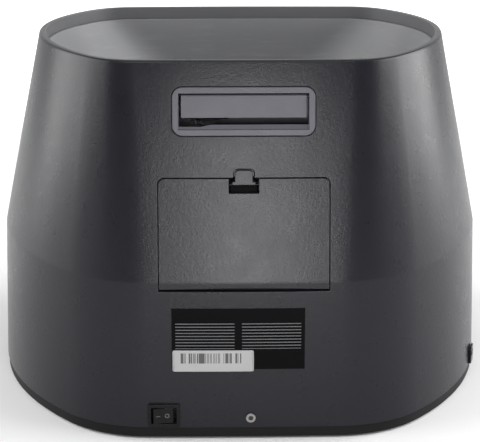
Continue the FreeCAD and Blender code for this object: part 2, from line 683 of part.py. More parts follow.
def hopper_bowl():
    """Funnel from the rim down to the round throat that the feed disc turns in."""
    throat_top = DECK_TOP + BOWL_THROAT
    outer_throat = RoundPlan(RIM, DISC_Y, THROAT_R + BOWL_WALL)
    outer = loft([RIM.wire(LIP_Z, RIM_WIDTH + BOWL_LEDGE - BOWL_WALL), outer_throat.wire(throat_top)])
    inner = loft([RIM.wire(LIP_Z, RIM_WIDTH + BOWL_LEDGE), THROAT.wire(throat_top)])
    outer = outer.fuse(rod(THROAT_R + BOWL_WALL, DECK_TOP, throat_top, 0, DISC_Y))
    inner = inner.fuse(rod(THROAT_R, DECK_TOP - 1, throat_top, 0, DISC_Y))
    half = EXIT_WIDTH / 2
    slot = box(THROAT_R - 20, THROAT_R + 20, -half, half, DISC_TOP, DISC_TOP + EXIT_TALL)
    slot.rotate(Vector(0, 0, 0), Vector(0, 0, 1), EXIT_TURN)
    slot.translate(Vector(0, DISC_Y, 0))
    return outer.cut(inner).cut(slot)


def exit_ramp():
    """Open trough from the throat's slot down to the start of the sorting rail."""
    half = EXIT_WIDTH / 2
    seat = THROAT_R + BOWL_WALL + FIT_GAP
    start = Vector(math.cos(math.radians(EXIT_TURN)), math.sin(math.radians(EXIT_TURN)), 0)
    start = start * seat + Vector(0, DISC_Y, DISC_TOP - FIT_GAP)
    along = RAMP_END - start
    length = along.Length
    thick = RAMP_THICK
    trough = joined([box(-thick, length, -half, half, -thick, 0),
                     box(-thick, length, -half, thick - half, -thick, RAMP_WALL),
                     box(-thick, length, half - thick, half, -thick, RAMP_WALL)])
    heading = math.degrees(math.atan2(along.y, along.x))
    dip = math.degrees(math.asin(-along.z / length))
    turn = Rotation(Vector(0, 0, 1), heading).multiply(Rotation(Vector(0, 1, 0), dip))
    return placed(trough, Placement(start, turn)).cut(rod(seat, 0, FAR, 0, DISC_Y))


def feed_disc():
    """Disc with low radial ribs that carries the coins round to the exit."""
    disc = rod(DISC_R, DISC_BOTTOM, DISC_TOP, 0, DISC_Y)
    ribs = []
    for index in range(DISC_RIBS):
        rib = box(30, DISC_R - 8, -1.5, 1.5, DISC_TOP - 1, DISC_TOP + 1.5)
        rib.rotate(Vector(0, 0, 0), Vector(0, 0, 1), 360.0 * index / DISC_RIBS)
        rib.translate(Vector(0, DISC_Y, 0))
        ribs.append(rib)
    return joined([disc] + ribs).cut(rod(SPINDLE_R, 0, FAR, 0, DISC_Y))


def disc_cap():
    cone = Part.makeCone(22.0, 7.0, 14.0, Vector(0, DISC_Y, DISC_TOP))
    knob = Part.makeSphere(7.0, Vector(0, DISC_Y, DISC_TOP + 14.0))
    return joined([cone, knob]).cut(rod(SPINDLE_R, 0, DISC_TOP + 6, 0, DISC_Y))


def disc_spindle():
    return rod(SPINDLE_R, GEAR_BOTTOM - 2, DISC_TOP + 6, 0, DISC_Y)


def bearing_seats():
    return DECK_UNDER - BEARING_WIDTH, DECK_UNDER - BEARING_WIDTH - 18.0


def spindle_bearings():
    rings = [tube(BEARING_R, SPINDLE_R + RUN_GAP, z, z + BEARING_WIDTH, 0, DISC_Y) for z in bearing_seats()]
    return group(rings)


def bearing_housing():
    low = bearing_seats()[1]
    sleeve = rod(BEARING_R + 4, low, DECK_UNDER, 0, DISC_Y)
    flange = rod(BEARING_R + 15, DECK_UNDER - 4, DECK_UNDER, 0, DISC_Y)
    return joined([sleeve, flange]).cut(rod(BEARING_R, 0, FAR, 0, DISC_Y))


def gear(teeth, bore, turn, x, y):
    """Spur gear with involute flanks, one tooth pointing in the given direction."""
    pitch = GEAR_MODULE * teeth / 2
    base = pitch * math.cos(PRESSURE_ANGLE)
    tip, root = pitch + GEAR_MODULE, pitch - 1.25 * GEAR_MODULE
    middle = math.pi / (2 * teeth) - TOOTH_PLAY / (4 * pitch) + math.tan(PRESSURE_ANGLE) - PRESSURE_ANGLE

    def half_angle(radius):
        rolled = math.acos(min(1.0, base / radius))
        return middle - math.tan(rolled) + rolled

    rises = (root, max(base, root + 0.1), pitch, tip)
    points = []
    for tooth in range(teeth):
        centre = math.radians(turn) + 2 * math.pi * tooth / teeth
        flank = [(radius, centre - half_angle(max(radius, base))) for radius in rises]
        flank += [(radius, centre + half_angle(max(radius, base))) for radius in reversed(rises)]
        points += [Vector(x + r * math.cos(a), y + r * math.sin(a), GEAR_BOTTOM) for r, a in flank]
    outline = Part.Face(Part.makePolygon(points + points[:1]))
    return outline.extrude(Vector(0, 0, GEAR_THICK)).cut(rod(bore, 0, FAR, x, y))


def motor_pinion():
    """Pinion and the motor shaft that it sits on."""
    turn = -90.0 + 180.0 / PINION_TEETH
    shaft = rod(MOTOR_SHAFT_R, BRACKET_UNDER - 10, GEAR_BOTTOM + GEAR_THICK + 2, 0, MOTOR_Y)
    return joined([gear(PINION_TEETH, MOTOR_SHAFT_R - 1.0, turn, 0, MOTOR_Y), shaft])


def drive_motor():
    low = BRACKET_UNDER - MOTOR_TALL
    can = rod(MOTOR_R, low, BRACKET_UNDER - 14, 0, MOTOR_Y)
    gearbox = rod(MOTOR_R - 2, low + 5, BRACKET_UNDER, 0, MOTOR_Y)
    terminals = box(-7, 7, MOTOR_Y - 3, MOTOR_Y + 3, low - 5, low + 1)
    bore = rod(MOTOR_SHAFT_R + RUN_GAP, BRACKET_UNDER - 12, FAR, 0, MOTOR_Y)
    return joined([can, gearbox, terminals]).cut(bore)


def motor_bracket():
    """Plate under the gears that hangs the motor from the deck on four posts."""
    plate = pad(72.0, 52.0, BRACKET_UNDER, BRACKET_TOP, 5.0, 0, MOTOR_Y)
    plate = plate.cut(rod(8.0, 0, FAR, 0, MOTOR_Y))
    places = [(x, MOTOR_Y + y) for x in (-30, 30) for y in (-2, 20)]
    posts = [rod(4.0, BRACKET_TOP - 1, DECK_UNDER, x, y) for x, y in places]
    return joined([plate] + posts)


def post_places():
    return [(side * x, y) for x, y in (FRONT_POST, REAR_POST) for side in (-1, 1)]


def mech_deck():
    """Plate that closes the hopper's throat and carries the drive."""
    plate = joined([rod(THROAT_R + BOWL_WALL + 1, DECK_UNDER, DECK_TOP, 0, DISC_Y),
                    pad(DECK_WIDTH, DECK_LONG, DECK_UNDER, DECK_TOP, 9.0, 0, DECK_Y)])
    plate = plate.cut(rod(SPINDLE_R + 2, 0, FAR, 0, DISC_Y))
    for x, y in post_places():
        plate = plate.cut(rod(2.2, 0, FAR, x, y))
    return plate


def deck_posts():
    return group([tube(POST_R, 2.0, PAN_FLOOR, DECK_UNDER, x, y) for x, y in post_places()])


def deck_screws():
    shape = screw(3.4, 2.0, 2.0, 16.0, 1.4)
    return group([placed(shape, Placement(Vector(x, y, DECK_TOP), Rotation())) for x, y in post_places()])


def drawer_rack():
    """Floor, dividers and back stop of the drawer bay; the dividers also carry the sorting rail."""
    floor_top = RACK_FLOOR + RACK_FLOOR_THICK
    half = RACK_HALF + DIVIDER
    pieces = [box(-half, half, -FAR / 2, DRAWER_BACK_Y + 4, RACK_FLOOR, floor_top)]
    for index in range(DRAWER_COUNT + 1):
        x = (index - DRAWER_COUNT / 2) * DRAWER_PITCH
        left, right = x - DIVIDER / 2, x + DIVIDER / 2
        pieces.append(box(left, right, -FAR / 2, DRAWER_BACK_Y + 4, floor_top - 1, RAIL_Z))
    pieces.append(box(-half, half, DRAWER_BACK_Y + 2, DRAWER_BACK_Y + 4, floor_top - 1, DRAWER_TOP))
    return joined(pieces).common(BODY[COVER_REST])


def coin_drawer(index):
    """Open bin whose front carries the housing's curve and a finger notch."""
    x = (index - (DRAWER_COUNT - 1) / 2) * DRAWER_PITCH
    half_front = DRAWER_PITCH / 2 - SLIDE_GAP
    half_bin = DRAWER_PITCH / 2 - DIVIDER / 2 - SLIDE_GAP
    front = SKIN.common(box(x - half_front, x + half_front, -FAR, -BACK_Y / 2, DRAWER_BOTTOM, DRAWER_TOP))
    bin_outer = box(x - half_bin, x + half_bin, -FAR, DRAWER_BACK_Y, DRAWER_BOTTOM, DRAWER_TOP)
    inside = half_bin - DRAWER_WALL
    floor = DRAWER_BOTTOM + DRAWER_WALL
    bin_inner = box(x - inside, x + inside, -FAR, DRAWER_BACK_Y - DRAWER_WALL, floor, FAR)
    shell = bin_outer.common(BODY[0.0]).cut(bin_inner.common(BODY[COVER_REST]))
    notch = axle(PULL_R, -FAR, -BACK_Y / 2, x, DRAWER_TOP)
    return joined([front, shell]).cut(notch)


def sort_rail():
    """Plate over the drawers with one graduated hole above each, and a fence along its rear edge."""
    front, back = RAIL_Y - RAIL_WIDTH / 2, RAIL_Y + RAIL_WIDTH / 2
    plate = box(-RAIL_HALF, RAIL_HALF, front, back, RAIL_Z, RAIL_TOP)
    fence = box(-RACK_HALF + DRAWER_PITCH, PULLEY_X - 20, back - 2, back, RAIL_Z, RAIL_TOP + 8)
    rail = joined([plate, fence])
    for index, width in enumerate(COIN_SLOTS):
        x = (index - (DRAWER_COUNT - 1) / 2) * DRAWER_PITCH
        rail = rail.cut(rod(width / 2, 0, FAR, x, RAIL_Y))
    return rail


def belt_loop(radius):
    """Solid inside a belt loop of this end radius."""
    front, back = RAIL_Y - PULLEY_WIDTH / 2, RAIL_Y + PULLEY_WIDTH / 2
    ends = [axle(radius, front, back, x, PULLEY_Z) for x in (-PULLEY_X, PULLEY_X)]
    run = box(-PULLEY_X, PULLEY_X, front, back, PULLEY_Z - radius, PULLEY_Z + radius)
    return joined(ends + [run])


def coin_belt():
    return belt_loop(PULLEY_R + RUN_GAP + BELT_THICK).cut(belt_loop(PULLEY_R + RUN_GAP))


def pulley(x, bore):
    half = PULLEY_WIDTH / 2
    wheel = axle(PULLEY_R, RAIL_Y - half, RAIL_Y + half, x, PULLEY_Z)
    return wheel.cut(axle(bore, -FAR, FAR, x, PULLEY_Z))


def drive_pulley():
    """Driven pulley on the belt motor's shaft."""
    back = RAIL_Y + PULLEY_WIDTH / 2 + BELT_PLATE_GAP + BELT_PLATE
    shaft = axle(BELT_SHAFT_R, RAIL_Y - PULLEY_WIDTH / 2, back + 8, PULLEY_X, PULLEY_Z)
    return joined([pulley(PULLEY_X, BELT_SHAFT_R - 1.0), shaft])


def idler_bracket():
    """Upright plate in front of the belt with the fixed axle of the idler pulley."""
    back = RAIL_Y - PULLEY_WIDTH / 2 - BELT_PLATE_GAP
    plate = box(-PULLEY_X - 10, -PULLEY_X + 10, back - BELT_PLATE, back, RAIL_TOP, PULLEY_Z + 8)
    pin = axle(BELT_SHAFT_R, back - BELT_PLATE, RAIL_Y + PULLEY_WIDTH / 2 + 2, -PULLEY_X, PULLEY_Z)
    return joined([plate, pin])


def belt_motor_bracket():
    front = RAIL_Y + PULLEY_WIDTH / 2 + BELT_PLATE_GAP
    plate = box(PULLEY_X - BELT_MOTOR_R - 4, PULLEY_X + BELT_MOTOR_R, front, front + BELT_PLATE, RAIL_TOP,
                PULLEY_Z + BELT_MOTOR_R + 1)
    return plate.cut(axle(BELT_SHAFT_R + 1, -FAR, FAR, PULLEY_X, PULLEY_Z))


def belt_motor():
    front = RAIL_Y + PULLEY_WIDTH / 2 + BELT_PLATE_GAP + BELT_PLATE
    can = axle(BELT_MOTOR_R, front, front + BELT_MOTOR_LONG, PULLEY_X, PULLEY_Z)
    return can.cut(axle(BELT_SHAFT_R + RUN_GAP, front - 1, front + 10, PULLEY_X, PULLEY_Z))


def sensor_strip():
    """Narrow board along the rail's front edge with one sensor beside each hole."""
    back = RAIL_Y - RAIL_WIDTH / 2
    strip = box(-RACK_HALF, RACK_HALF, back - BOARD_THICK, back, RAIL_Z, RAIL_TOP + 6)
    eyes = []
    for index in range(DRAWER_COUNT):
        x = (index - (DRAWER_COUNT - 1) / 2) * DRAWER_PITCH
        eyes.append(box(x - 3, x + 3, back - 1, back + 2.5, RAIL_TOP + 0.5, RAIL_TOP + 5))
    return joined([strip] + eyes)


def key_places():
    return [((index - (KEY_COUNT - 1) / 2) * KEY_PITCH, KEY_ROW) for index in range(KEY_COUNT)]


def control_panel():
    """Flush front cover with the display window's seat, key holes and board pillars."""
    plate = SKIN.common(panel_outline(0))
    pillars = [rod(3.0, -BOARD_DEPTH, -1.5, x, y) for x in (-84, 84) for y in (-38, 38)]
    panel = joined([plate] + [placed(pillar, FRONT_SLOPE) for pillar in pillars])
    seat = pad(WINDOW_WIDTH + 2 * FIT_GAP, WINDOW_TALL + 2 * FIT_GAP, -1.6, 5, 2.2, 0, WINDOW_ROW)
    view = pad(WINDOW_WIDTH - 6, WINDOW_TALL - 6, -6, 5, 1.5, 0, WINDOW_ROW)
    panel = panel.cut(placed(seat, FRONT_SLOPE)).cut(placed(view, FRONT_SLOPE))
    for x, y in key_places():
        hole = pad(KEY_WIDTH + 2 * SLIDE_GAP, KEY_TALL + 2 * SLIDE_GAP, -8, 5, 2.2, x, y)
        panel = panel.cut(placed(hole, FRONT_SLOPE))
    return panel


def display_window():
    return placed(pad(WINDOW_WIDTH, WINDOW_TALL, -1.6, -0.2, 2.0, 0, WINDOW_ROW), FRONT_SLOPE)


def display_module():
    block = pad(WINDOW_WIDTH - 8, WINDOW_TALL - 8, -BOARD_DEPTH, -1.6, 1.0, 0, WINDOW_ROW)
    return placed(block, FRONT_SLOPE)


def key_board():
    """Board behind the control panel with a contact under each key."""
    width, tall = PANEL_WIDTH - 2 * KEY_BOARD_MARGIN, PANEL_HEIGHT - 2 * KEY_BOARD_MARGIN
    board = pad(width, tall, -BOARD_DEPTH - BOARD_THICK, -BOARD_DEPTH, 2.0)
    low, high = -BOARD_DEPTH - 0.5, -BOARD_DEPTH + 1.2
    contacts = [pad(6.0, 6.0, low, high, 0.6, x, y) for x, y in key_places()]
    return placed(joined([board] + contacts), FRONT_SLOPE)


def key(index):
    x, y = key_places()[index]
    cap = pad(KEY_WIDTH, KEY_TALL, -6.0, KEY_PROUD, 2.0, x, y)
    flange = pad(KEY_WIDTH + 3, KEY_TALL + 3, -5.6, -4.6, 1.0, x, y)
    return placed(joined([cap, flange]), FRONT_SLOPE)


def board_pillars():
    x0, x1, y0, y1 = BOARD_SPAN
    return [(x, y) for x in (x0 + 6, x1 - 6) for y in (y0 + 6, y1 - 6)]


def main_board():
    """Control board with its larger components."""
    x0, x1, y0, y1 = BOARD_SPAN
    low = BOARD_Z + BOARD_THICK - 0.4
    board = box(x0, x1, y0, y1, BOARD_Z, BOARD_Z + BOARD_THICK)
    chip = box(x0 + 30, x0 + 48, y0 + 34, y0 + 52, low, low + 3)
    connector = box(x0 + 10, x0 + 60, y1 - 14, y1 - 4, low, low + 11)
    capacitors = [rod(6.0, low, low + 18, x1 - 18, y0 + y) for y in (24, 40)]
    relay = box(x1 - 26, x1 - 8, y1 - 36, y1 - 18, low, low + 15)
    return joined([board, chip, connector, relay] + capacitors)


def power_supply():
    """Transformer on its mounting plate."""
    x0, x1, y0, y1 = SUPPLY_SPAN
    plate = box(x0, x1, y0, y1, PAN_FLOOR, PAN_FLOOR + 2)
    core = box(x0 + 10, x1 - 10, y0 + 10, y1 - 8, PAN_FLOOR + 1, PAN_FLOOR + SUPPLY_TALL)
    winding = box(x0 + 18, x1 - 18, y0 + 4, y1 - 2, PAN_FLOOR + 8, PAN_FLOOR + SUPPLY_TALL - 7)
    return joined([plate, core, winding])


def write(name, shape):
    if not shape.isValid():
        raise RuntimeError("invalid solid: " + name)
    shape.exportStep(os.path.join("parts", name + ".step"))
    print(name, len(shape.Solids), "solids", round(shape.Volume / 1000, 2), "cm3")


def main():
    os.makedirs("parts", exist_ok=True)
    shells = (base_pan, feet, housing, base_screws, rear_screw, cord_gland, switch_body, switch_rocker)
    covers = (rear_door, door_latch, handle_cup, handle_grip, handle_pin)
    feeding = (hopper_bowl, exit_ramp, feed_disc, disc_cap, disc_spindle, spindle_bearings, bearing_housing)
    drive = (motor_pinion, drive_motor, motor_bracket, mech_deck, deck_posts, deck_screws)
    sorting = (drawer_rack, sort_rail, coin_belt, drive_pulley, idler_bracket, belt_motor_bracket,
               belt_motor, sensor_strip)
    controls = (control_panel, display_window, display_module, key_board, main_board, power_supply)
    for piece in shells + covers + feeding + drive + sorting + controls:
        write(piece.__name__, piece())
    write("door_pins", door_pin_bars(DOOR_PIN_R))
    write("idler_pulley", pulley(-PULLEY_X, BELT_SHAFT_R + RUN_GAP))
    write("disc_gear", gear(GEAR_TEETH, SPINDLE_R, 90.0, 0, DISC_Y))
    write("rating_label", rear_plate(LABEL_X, LABEL_WIDTH, LABEL_BOTTOM, LABEL_TALL, ADHESIVE))
    lift = LABEL_THICK + 2 * ADHESIVE
    write("bar_sticker", rear_plate(STICKER_X, STICKER_WIDTH, STICKER_BOTTOM, STICKER_TALL, lift))
    for index in range(DRAWER_COUNT):
        write("coin_drawer_%d" % (index + 1), coin_drawer(index))
    for index in range(KEY_COUNT):
        write("key_%d" % (index + 1), key(index))


main()
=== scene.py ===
"""Finished looks of a table-top coin sorting machine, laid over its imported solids."""

import json
import logging
import math
from dataclasses import dataclass, field
from enum import Enum
from functools import cache

import bmesh
import bpy
from mathutils import Matrix, Quaternion, Vector
from mathutils.bvhtree import BVHTree
from mathutils.interpolate import poly_3d_calc

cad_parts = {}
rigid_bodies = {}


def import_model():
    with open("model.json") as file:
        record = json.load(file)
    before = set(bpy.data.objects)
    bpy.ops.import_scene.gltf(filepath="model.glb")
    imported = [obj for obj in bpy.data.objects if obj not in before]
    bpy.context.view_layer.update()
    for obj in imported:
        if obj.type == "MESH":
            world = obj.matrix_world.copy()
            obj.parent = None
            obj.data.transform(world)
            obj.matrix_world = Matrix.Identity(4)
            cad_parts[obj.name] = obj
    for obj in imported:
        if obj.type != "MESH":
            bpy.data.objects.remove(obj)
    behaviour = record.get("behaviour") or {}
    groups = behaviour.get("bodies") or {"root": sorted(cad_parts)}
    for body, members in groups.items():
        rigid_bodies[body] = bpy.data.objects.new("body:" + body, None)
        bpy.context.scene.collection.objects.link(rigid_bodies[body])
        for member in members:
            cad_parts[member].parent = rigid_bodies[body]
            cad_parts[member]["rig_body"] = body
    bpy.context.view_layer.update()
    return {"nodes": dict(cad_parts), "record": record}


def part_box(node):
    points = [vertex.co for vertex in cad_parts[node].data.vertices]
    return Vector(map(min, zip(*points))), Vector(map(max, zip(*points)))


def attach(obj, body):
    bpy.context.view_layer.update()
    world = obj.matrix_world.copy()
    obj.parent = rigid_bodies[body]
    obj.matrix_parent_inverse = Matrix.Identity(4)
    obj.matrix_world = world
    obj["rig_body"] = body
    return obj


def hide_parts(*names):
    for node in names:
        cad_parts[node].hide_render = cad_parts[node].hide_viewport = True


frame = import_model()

LOG = logging.getLogger("coin_sorter")
MM = 0.001

# Places on the solids: how far out a line starts that looks for a face, and the thickness of print there.
OUTSIDE = 1.0
PRINT_THICK = 0.1 * MM

# Copies of solids: what counts as one point or one flat face, and the face layer that numbers the roundings.
MERGE_REACH = 0.001 * MM
FLAT_TURN = math.radians(0.2)
ROUNDED = "rounded"

# Edges: the crease round the body, the edges that are rounded, and the steps across each rounding.
CREASE_HEIGHT = 112.0 * MM
CREASE_SLACK = 0.2 * MM
CREASE_TURN = (math.radians(3.0), math.radians(60.0))
CREASE_SOFT = 1.0 * MM
CREASE_STEPS = 4
SHARP_TURN = math.radians(32.0)
EDGE_STEPS = 2
RING_STEPS = 36

# Shading: turns that show as an edge or are evened out, and cosines of faces that belong together.
EDGE_TURN = math.radians(30.0)
SMOOTH_TURN = math.radians(5.5)
SAME_FACE = 0.94
SAME_SIDE = 0.6

NODE_SLOT = {part["node"]: part["material_slot"] for part in frame["record"]["subparts"]}

Colour = tuple[float, float, float]
Point = tuple[float, float, float]
Socket = bpy.types.NodeSocket
Shape = bmesh.types.BMesh
Edge = bmesh.types.BMEdge


class NodeKit:
    """Node tree with short calls that add and join its nodes."""

    def __init__(self, holder: bpy.types.Material | bpy.types.World, shader: str, place: str) -> None:
        """Start the tree of a material or a world.

        Args:
            holder: Material or world.
            shader: Name of the node whose sockets are set.
            place: Name of the coordinates that patterns follow.
        """
        holder.use_nodes = True
        self.tree = holder.node_tree
        self.shader = self.tree.nodes[shader]
        self.place = self.tree.nodes.new("ShaderNodeTexCoord").outputs[place]

    def fixed(self, **values: float | tuple) -> None:
        """Set sockets of the shader that are the same all over the surface.

        Args:
            values: Socket names, with _ for a space, and what they are set to.
        """
        for name, value in values.items():
            self.shader.inputs[name.replace("_", " ")].default_value = value

    def node(self, kind: str, *joined: tuple, **settings: object) -> bpy.types.Node:
        """Add one node.

        Args:
            kind: Type name of the node without its ShaderNode prefix.
            joined: Pairs of a socket of the new node and a value or an output.
            settings: Properties of the node.

        Returns:
            The new node.
        """
        made = self.tree.nodes.new("ShaderNode" + kind)
        for name, value in settings.items():
            setattr(made, name, value)
        for socket, value in joined:
            if isinstance(value, Socket):
                self.tree.links.new(value, made.inputs[socket])
            else:
                made.inputs[socket].default_value = value
        return made

    def moved(self, shift: Point = (0, 0, 0), scale: Point = (1, 1, 1)) -> Socket:
        """Object coordinates, shifted and then stretched.

        Args:
            shift: Point of the frame that becomes the origin, in metres.
            scale: Stretch along each axis.

        Returns:
            The changed coordinates.
        """
        centred = self.node("VectorMath", (0, self.place), (1, shift), operation="SUBTRACT").outputs[0]
        return self.node("VectorMath", (0, centred), (1, scale), operation="MULTIPLY").outputs[0]

    def noise(self, scale: float, detail: float = 2.0, place: Socket | None = None,
              rough: float = 0.5) -> Socket:
        """Cloudy value from 0 to 1.

        Args:
            scale: Clouds per metre.
            detail: Number of finer layers.
            place: Coordinates, or None for the plain ones.
            rough: Strength of the finer layers.

        Returns:
            The value.
        """
        made = self.node("TexNoise", ("Vector", place or self.place), ("Scale", scale),
                         ("Detail", detail), ("Roughness", rough))
        return made.outputs["Fac"]

    def spread(self, value: Socket, low: float, high: float, start: float = 0.0, stop: float = 1.0) -> Socket:
        """Value carried from one span to another and held inside it.

        Args:
            value: Value to carry over.
            low: Result at start.
            high: Result at stop.
            start: First value of the old span.
            stop: Last value of the old span.

        Returns:
            The new value.
        """
        made = self.node("MapRange", ("Value", value), ("From Min", start), ("From Max", stop),
                         ("To Min", low), ("To Max", high))
        return made.outputs[0]

    def combine(self, first: Socket, second: Socket | float, operation: str = "ADD") -> Socket:
        """Two values put together by one operation.

        Args:
            first: First value.
            second: Second value.
            operation: Name of the operation.

        Returns:
            The result.
        """
        return self.node("Math", (0, first), (1, second), operation=operation).outputs[0]

    def within(self, value: Socket, axis: Socket, low: float, high: float) -> Socket:
        """Value kept where a coordinate lies between two limits, and nought elsewhere.

        Args:
            value: The value.
            axis: The coordinate.
            low: Lower limit.
            high: Upper limit.

        Returns:
            The limited value.
        """
        for limit, side in ((low, "GREATER_THAN"), (high, "LESS_THAN")):
            value = self.combine(value, self.combine(axis, limit, side), "MULTIPLY")
        return value

    def reach(self, centre: Point = (0, 0, 0)) -> Socket:
        """Distance from the upright axis through a point."""
        flat = self.moved(centre, (1.0, 1.0, 0.0))
        return self.node("VectorMath", (0, flat), operation="LENGTH").outputs["Value"]

    def seen(self) -> Socket:
        """1 for what the camera sees, straight or through a window, and 0 for all other light."""
        rays = self.node("LightPath").outputs
        return self.combine(rays["Is Camera Ray"], rays["Is Transmission Ray"], "MAXIMUM")

    def mix(self, share: Socket, first: object, second: object) -> Socket:
        """Colour between two colours.

        Args:
            share: 0 for the first colour and 1 for the second.
            first: Colour or output.
            second: Colour or output.

        Returns:
            The mixed colour.
        """
        made = self.node("Mix", ("Factor", share), data_type="RGBA")
        for socket, value in ((made.inputs[6], first), (made.inputs[7], second)):
            if isinstance(value, Socket):
                self.tree.links.new(value, socket)
            else:
                socket.default_value = (*value, 1.0)
        return made.outputs[2]

    def drive(self, socket: str, value: Socket) -> None:
        """Join a value to a socket of the shader."""
        self.tree.links.new(value, self.shader.inputs[socket])

    def bump(self, height: Socket, depth: float, strength: float = 1.0) -> None:
        """Raise the surface by a height map.

        Args:
            height: Height from 0 to 1.
            depth: What a height of 1 stands for, in metres.
            strength: Share of the bump that shows.
        """
        made = self.node("Bump", ("Height", height), ("Distance", depth), ("Strength", strength))
        self.drive("Normal", made.outputs[0])


class Shading(NodeKit):
    """Node tree of one material."""

    def __init__(self, name: str) -> None:
        """Start a material with this name."""
        self.material = bpy.data.materials.new(name)
        super().__init__(self.material, "Principled BSDF", "Object")


class Sky(NodeKit):
    """Node tree of the world."""

    def __init__(self, name: str) -> None:
        """Start a world and put it in the scene.

        Args:
            name: Name of the world.
        """
        world = bpy.data.worlds.new(name)
        bpy.context.scene.world = world
        super().__init__(world, "Background", "Generated")


def shade(colour: Colour, factor: float) -> Colour:
    """Colour made lighter or darker by a factor."""
    return tuple(min(1.0, part * factor) for part in colour)


@dataclass(frozen=True)
class Finish:
    """Look of a surface: a colour and the patterns that vary it."""

    name: str
    colour: Colour

    def make(self) -> bpy.types.Material:
        """Build the material.

        Returns:
            The finished material.
        """
        kit = Shading(self.name)
        self.paint(kit)
        return kit.material

    def paint(self, kit: Shading) -> None:
        """Join the patterns of this finish to the shader of a new material."""
        raise NotImplementedError

    def tones(self, kit: Shading, share: Socket, first: float, second: float) -> Socket:
        """Colour that drifts between two tones of the finish.

        Args:
            kit: Tree of the material.
            share: 0 for the first tone and 1 for the second.
            first: Factor of the first tone.
            second: Factor of the second tone.

        Returns:
            The drifting colour.
        """
        return kit.mix(share, shade(self.colour, first), shade(self.colour, second))


@dataclass(frozen=True)
class MouldedPlastic(Finish):
    """Moulded plastic with an eroded grain, slow colour drift and faint rubbed streaks."""

    rough: float = 0.45
    grain: float = 1500.0
    grain_depth: float = 0.04 * MM
    drift: float = 0.07
    rubbed: float = 0.12
    specular: float = 0.5
    streaks: Point = (35.0, 35.0, 260.0)

    def paint(self, kit: Shading) -> None:
        """Join the drift, the streaks and the grain.

        Args:
            kit: Tree of the new material.
        """
        kit.fixed(Specular_IOR_Level=self.specular)
        base = self.tones(kit, kit.noise(scale=11.0, detail=4.0), 1 - self.drift, 1 + self.drift)
        streaks = kit.noise(scale=1.0, detail=3.0, place=kit.moved(scale=self.streaks))
        worn = kit.spread(streaks, low=0.0, high=self.rubbed, start=0.56, stop=0.78)
        kit.drive("Base Color", kit.mix(worn, base, shade(self.colour, 1.6)))
        kit.drive("Roughness", kit.spread(kit.noise(scale=70.0, detail=3.0), low=self.rough - 0.04,
                                          high=self.rough + 0.05))
        pits = kit.combine(kit.noise(self.grain, rough=0.6), kit.noise(self.grain / 3))
        kit.bump(pits, self.grain_depth)


@dataclass(frozen=True)
class GlossPlastic(Finish):
    """Polished plastic with faint finger smears that only change its gloss."""

    rough: float = 0.12
    cover: float = 1.0
    specular: float = 0.5

    def paint(self, kit: Shading) -> None:
        """Join the smears and a faint ripple.

        Args:
            kit: Tree of the new material.
        """
        kit.fixed(Alpha=self.cover, IOR=1.49, Specular_IOR_Level=self.specular)
        smears = kit.noise(scale=45.0, detail=5.0, rough=0.62)
        kit.drive("Roughness", kit.spread(smears, low=self.rough * 0.7, high=self.rough * 1.9,
                                          start=0.35, stop=0.75))
        kit.drive("Base Color", self.tones(kit, kit.noise(scale=20.0), 0.9, 1.12))
        kit.bump(kit.noise(scale=160.0), depth=0.02 * MM, strength=0.4)


class Lay(Enum):
    """Direction of the fine tool marks on a metal face."""

    ALONG_X = (40.0, 900.0, 900.0)
    UPRIGHT = (900.0, 900.0, 40.0)
    NONE = (300.0, 300.0, 300.0)


@dataclass(frozen=True)
class Metal(Finish):
    """Bare or plated metal with fine tool marks along one direction."""

    rough: float = 0.3
    lay: Lay = Lay.NONE

    def paint(self, kit: Shading) -> None:
        """Join the tool marks and the stains.

        Args:
            kit: Tree of the new material.
        """
        kit.fixed(Metallic=1.0)
        marks = kit.noise(scale=1.0, detail=3.0, place=kit.moved(scale=self.lay.value))
        kit.drive("Base Color", self.tones(kit, marks, 0.82, 1.08))
        stains = kit.spread(kit.noise(scale=30.0, detail=4.0), low=self.rough - 0.06, high=self.rough + 0.06)
        kit.drive("Roughness", kit.combine(kit.spread(marks, low=0.0, high=0.1), stains))
        kit.bump(marks, depth=0.02 * MM, strength=0.5)


@dataclass(frozen=True)
class TurnedMetal(Finish):
    """Metal faced on a lathe: fine rings about an upright axis."""

    centre: Point
    rough: float = 0.28

    def paint(self, kit: Shading) -> None:
        """Join the rings and the scratches.

        Args:
            kit: Tree of the new material.
        """
        kit.fixed(Metallic=1.0)
        ring_place = kit.node("CombineXYZ", ("X", kit.reach(self.centre))).outputs[0]
        rings = kit.noise(scale=1400.0, place=ring_place)
        kit.drive("Base Color", self.tones(kit, rings, 0.85, 1.1))
        scratches = kit.spread(kit.noise(scale=60.0, detail=5.0, rough=0.7), low=self.rough - 0.08,
                               high=self.rough + 0.1)
        kit.drive("Roughness", kit.combine(kit.spread(rings, low=0.0, high=0.12), scratches))
        kit.bump(rings, depth=0.03 * MM, strength=0.6)


@dataclass(frozen=True)
class Rubber(Finish):
    """Dull rubber with a dusty bloom."""

    def paint(self, kit: Shading) -> None:
        """Join the bloom and a fine grain.

        Args:
            kit: Tree of the new material.
        """
        dust = kit.noise(scale=90.0, detail=5.0, rough=0.65)
        bloom = kit.spread(dust, low=0.0, high=0.5, start=0.45, stop=0.8)
        kit.drive("Base Color", self.tones(kit, bloom, 1.0, 2.4))
        kit.drive("Roughness", kit.spread(bloom, low=0.62, high=0.85, start=0.0, stop=0.5))
        kit.bump(kit.noise(scale=900.0), depth=0.05 * MM, strength=0.6)


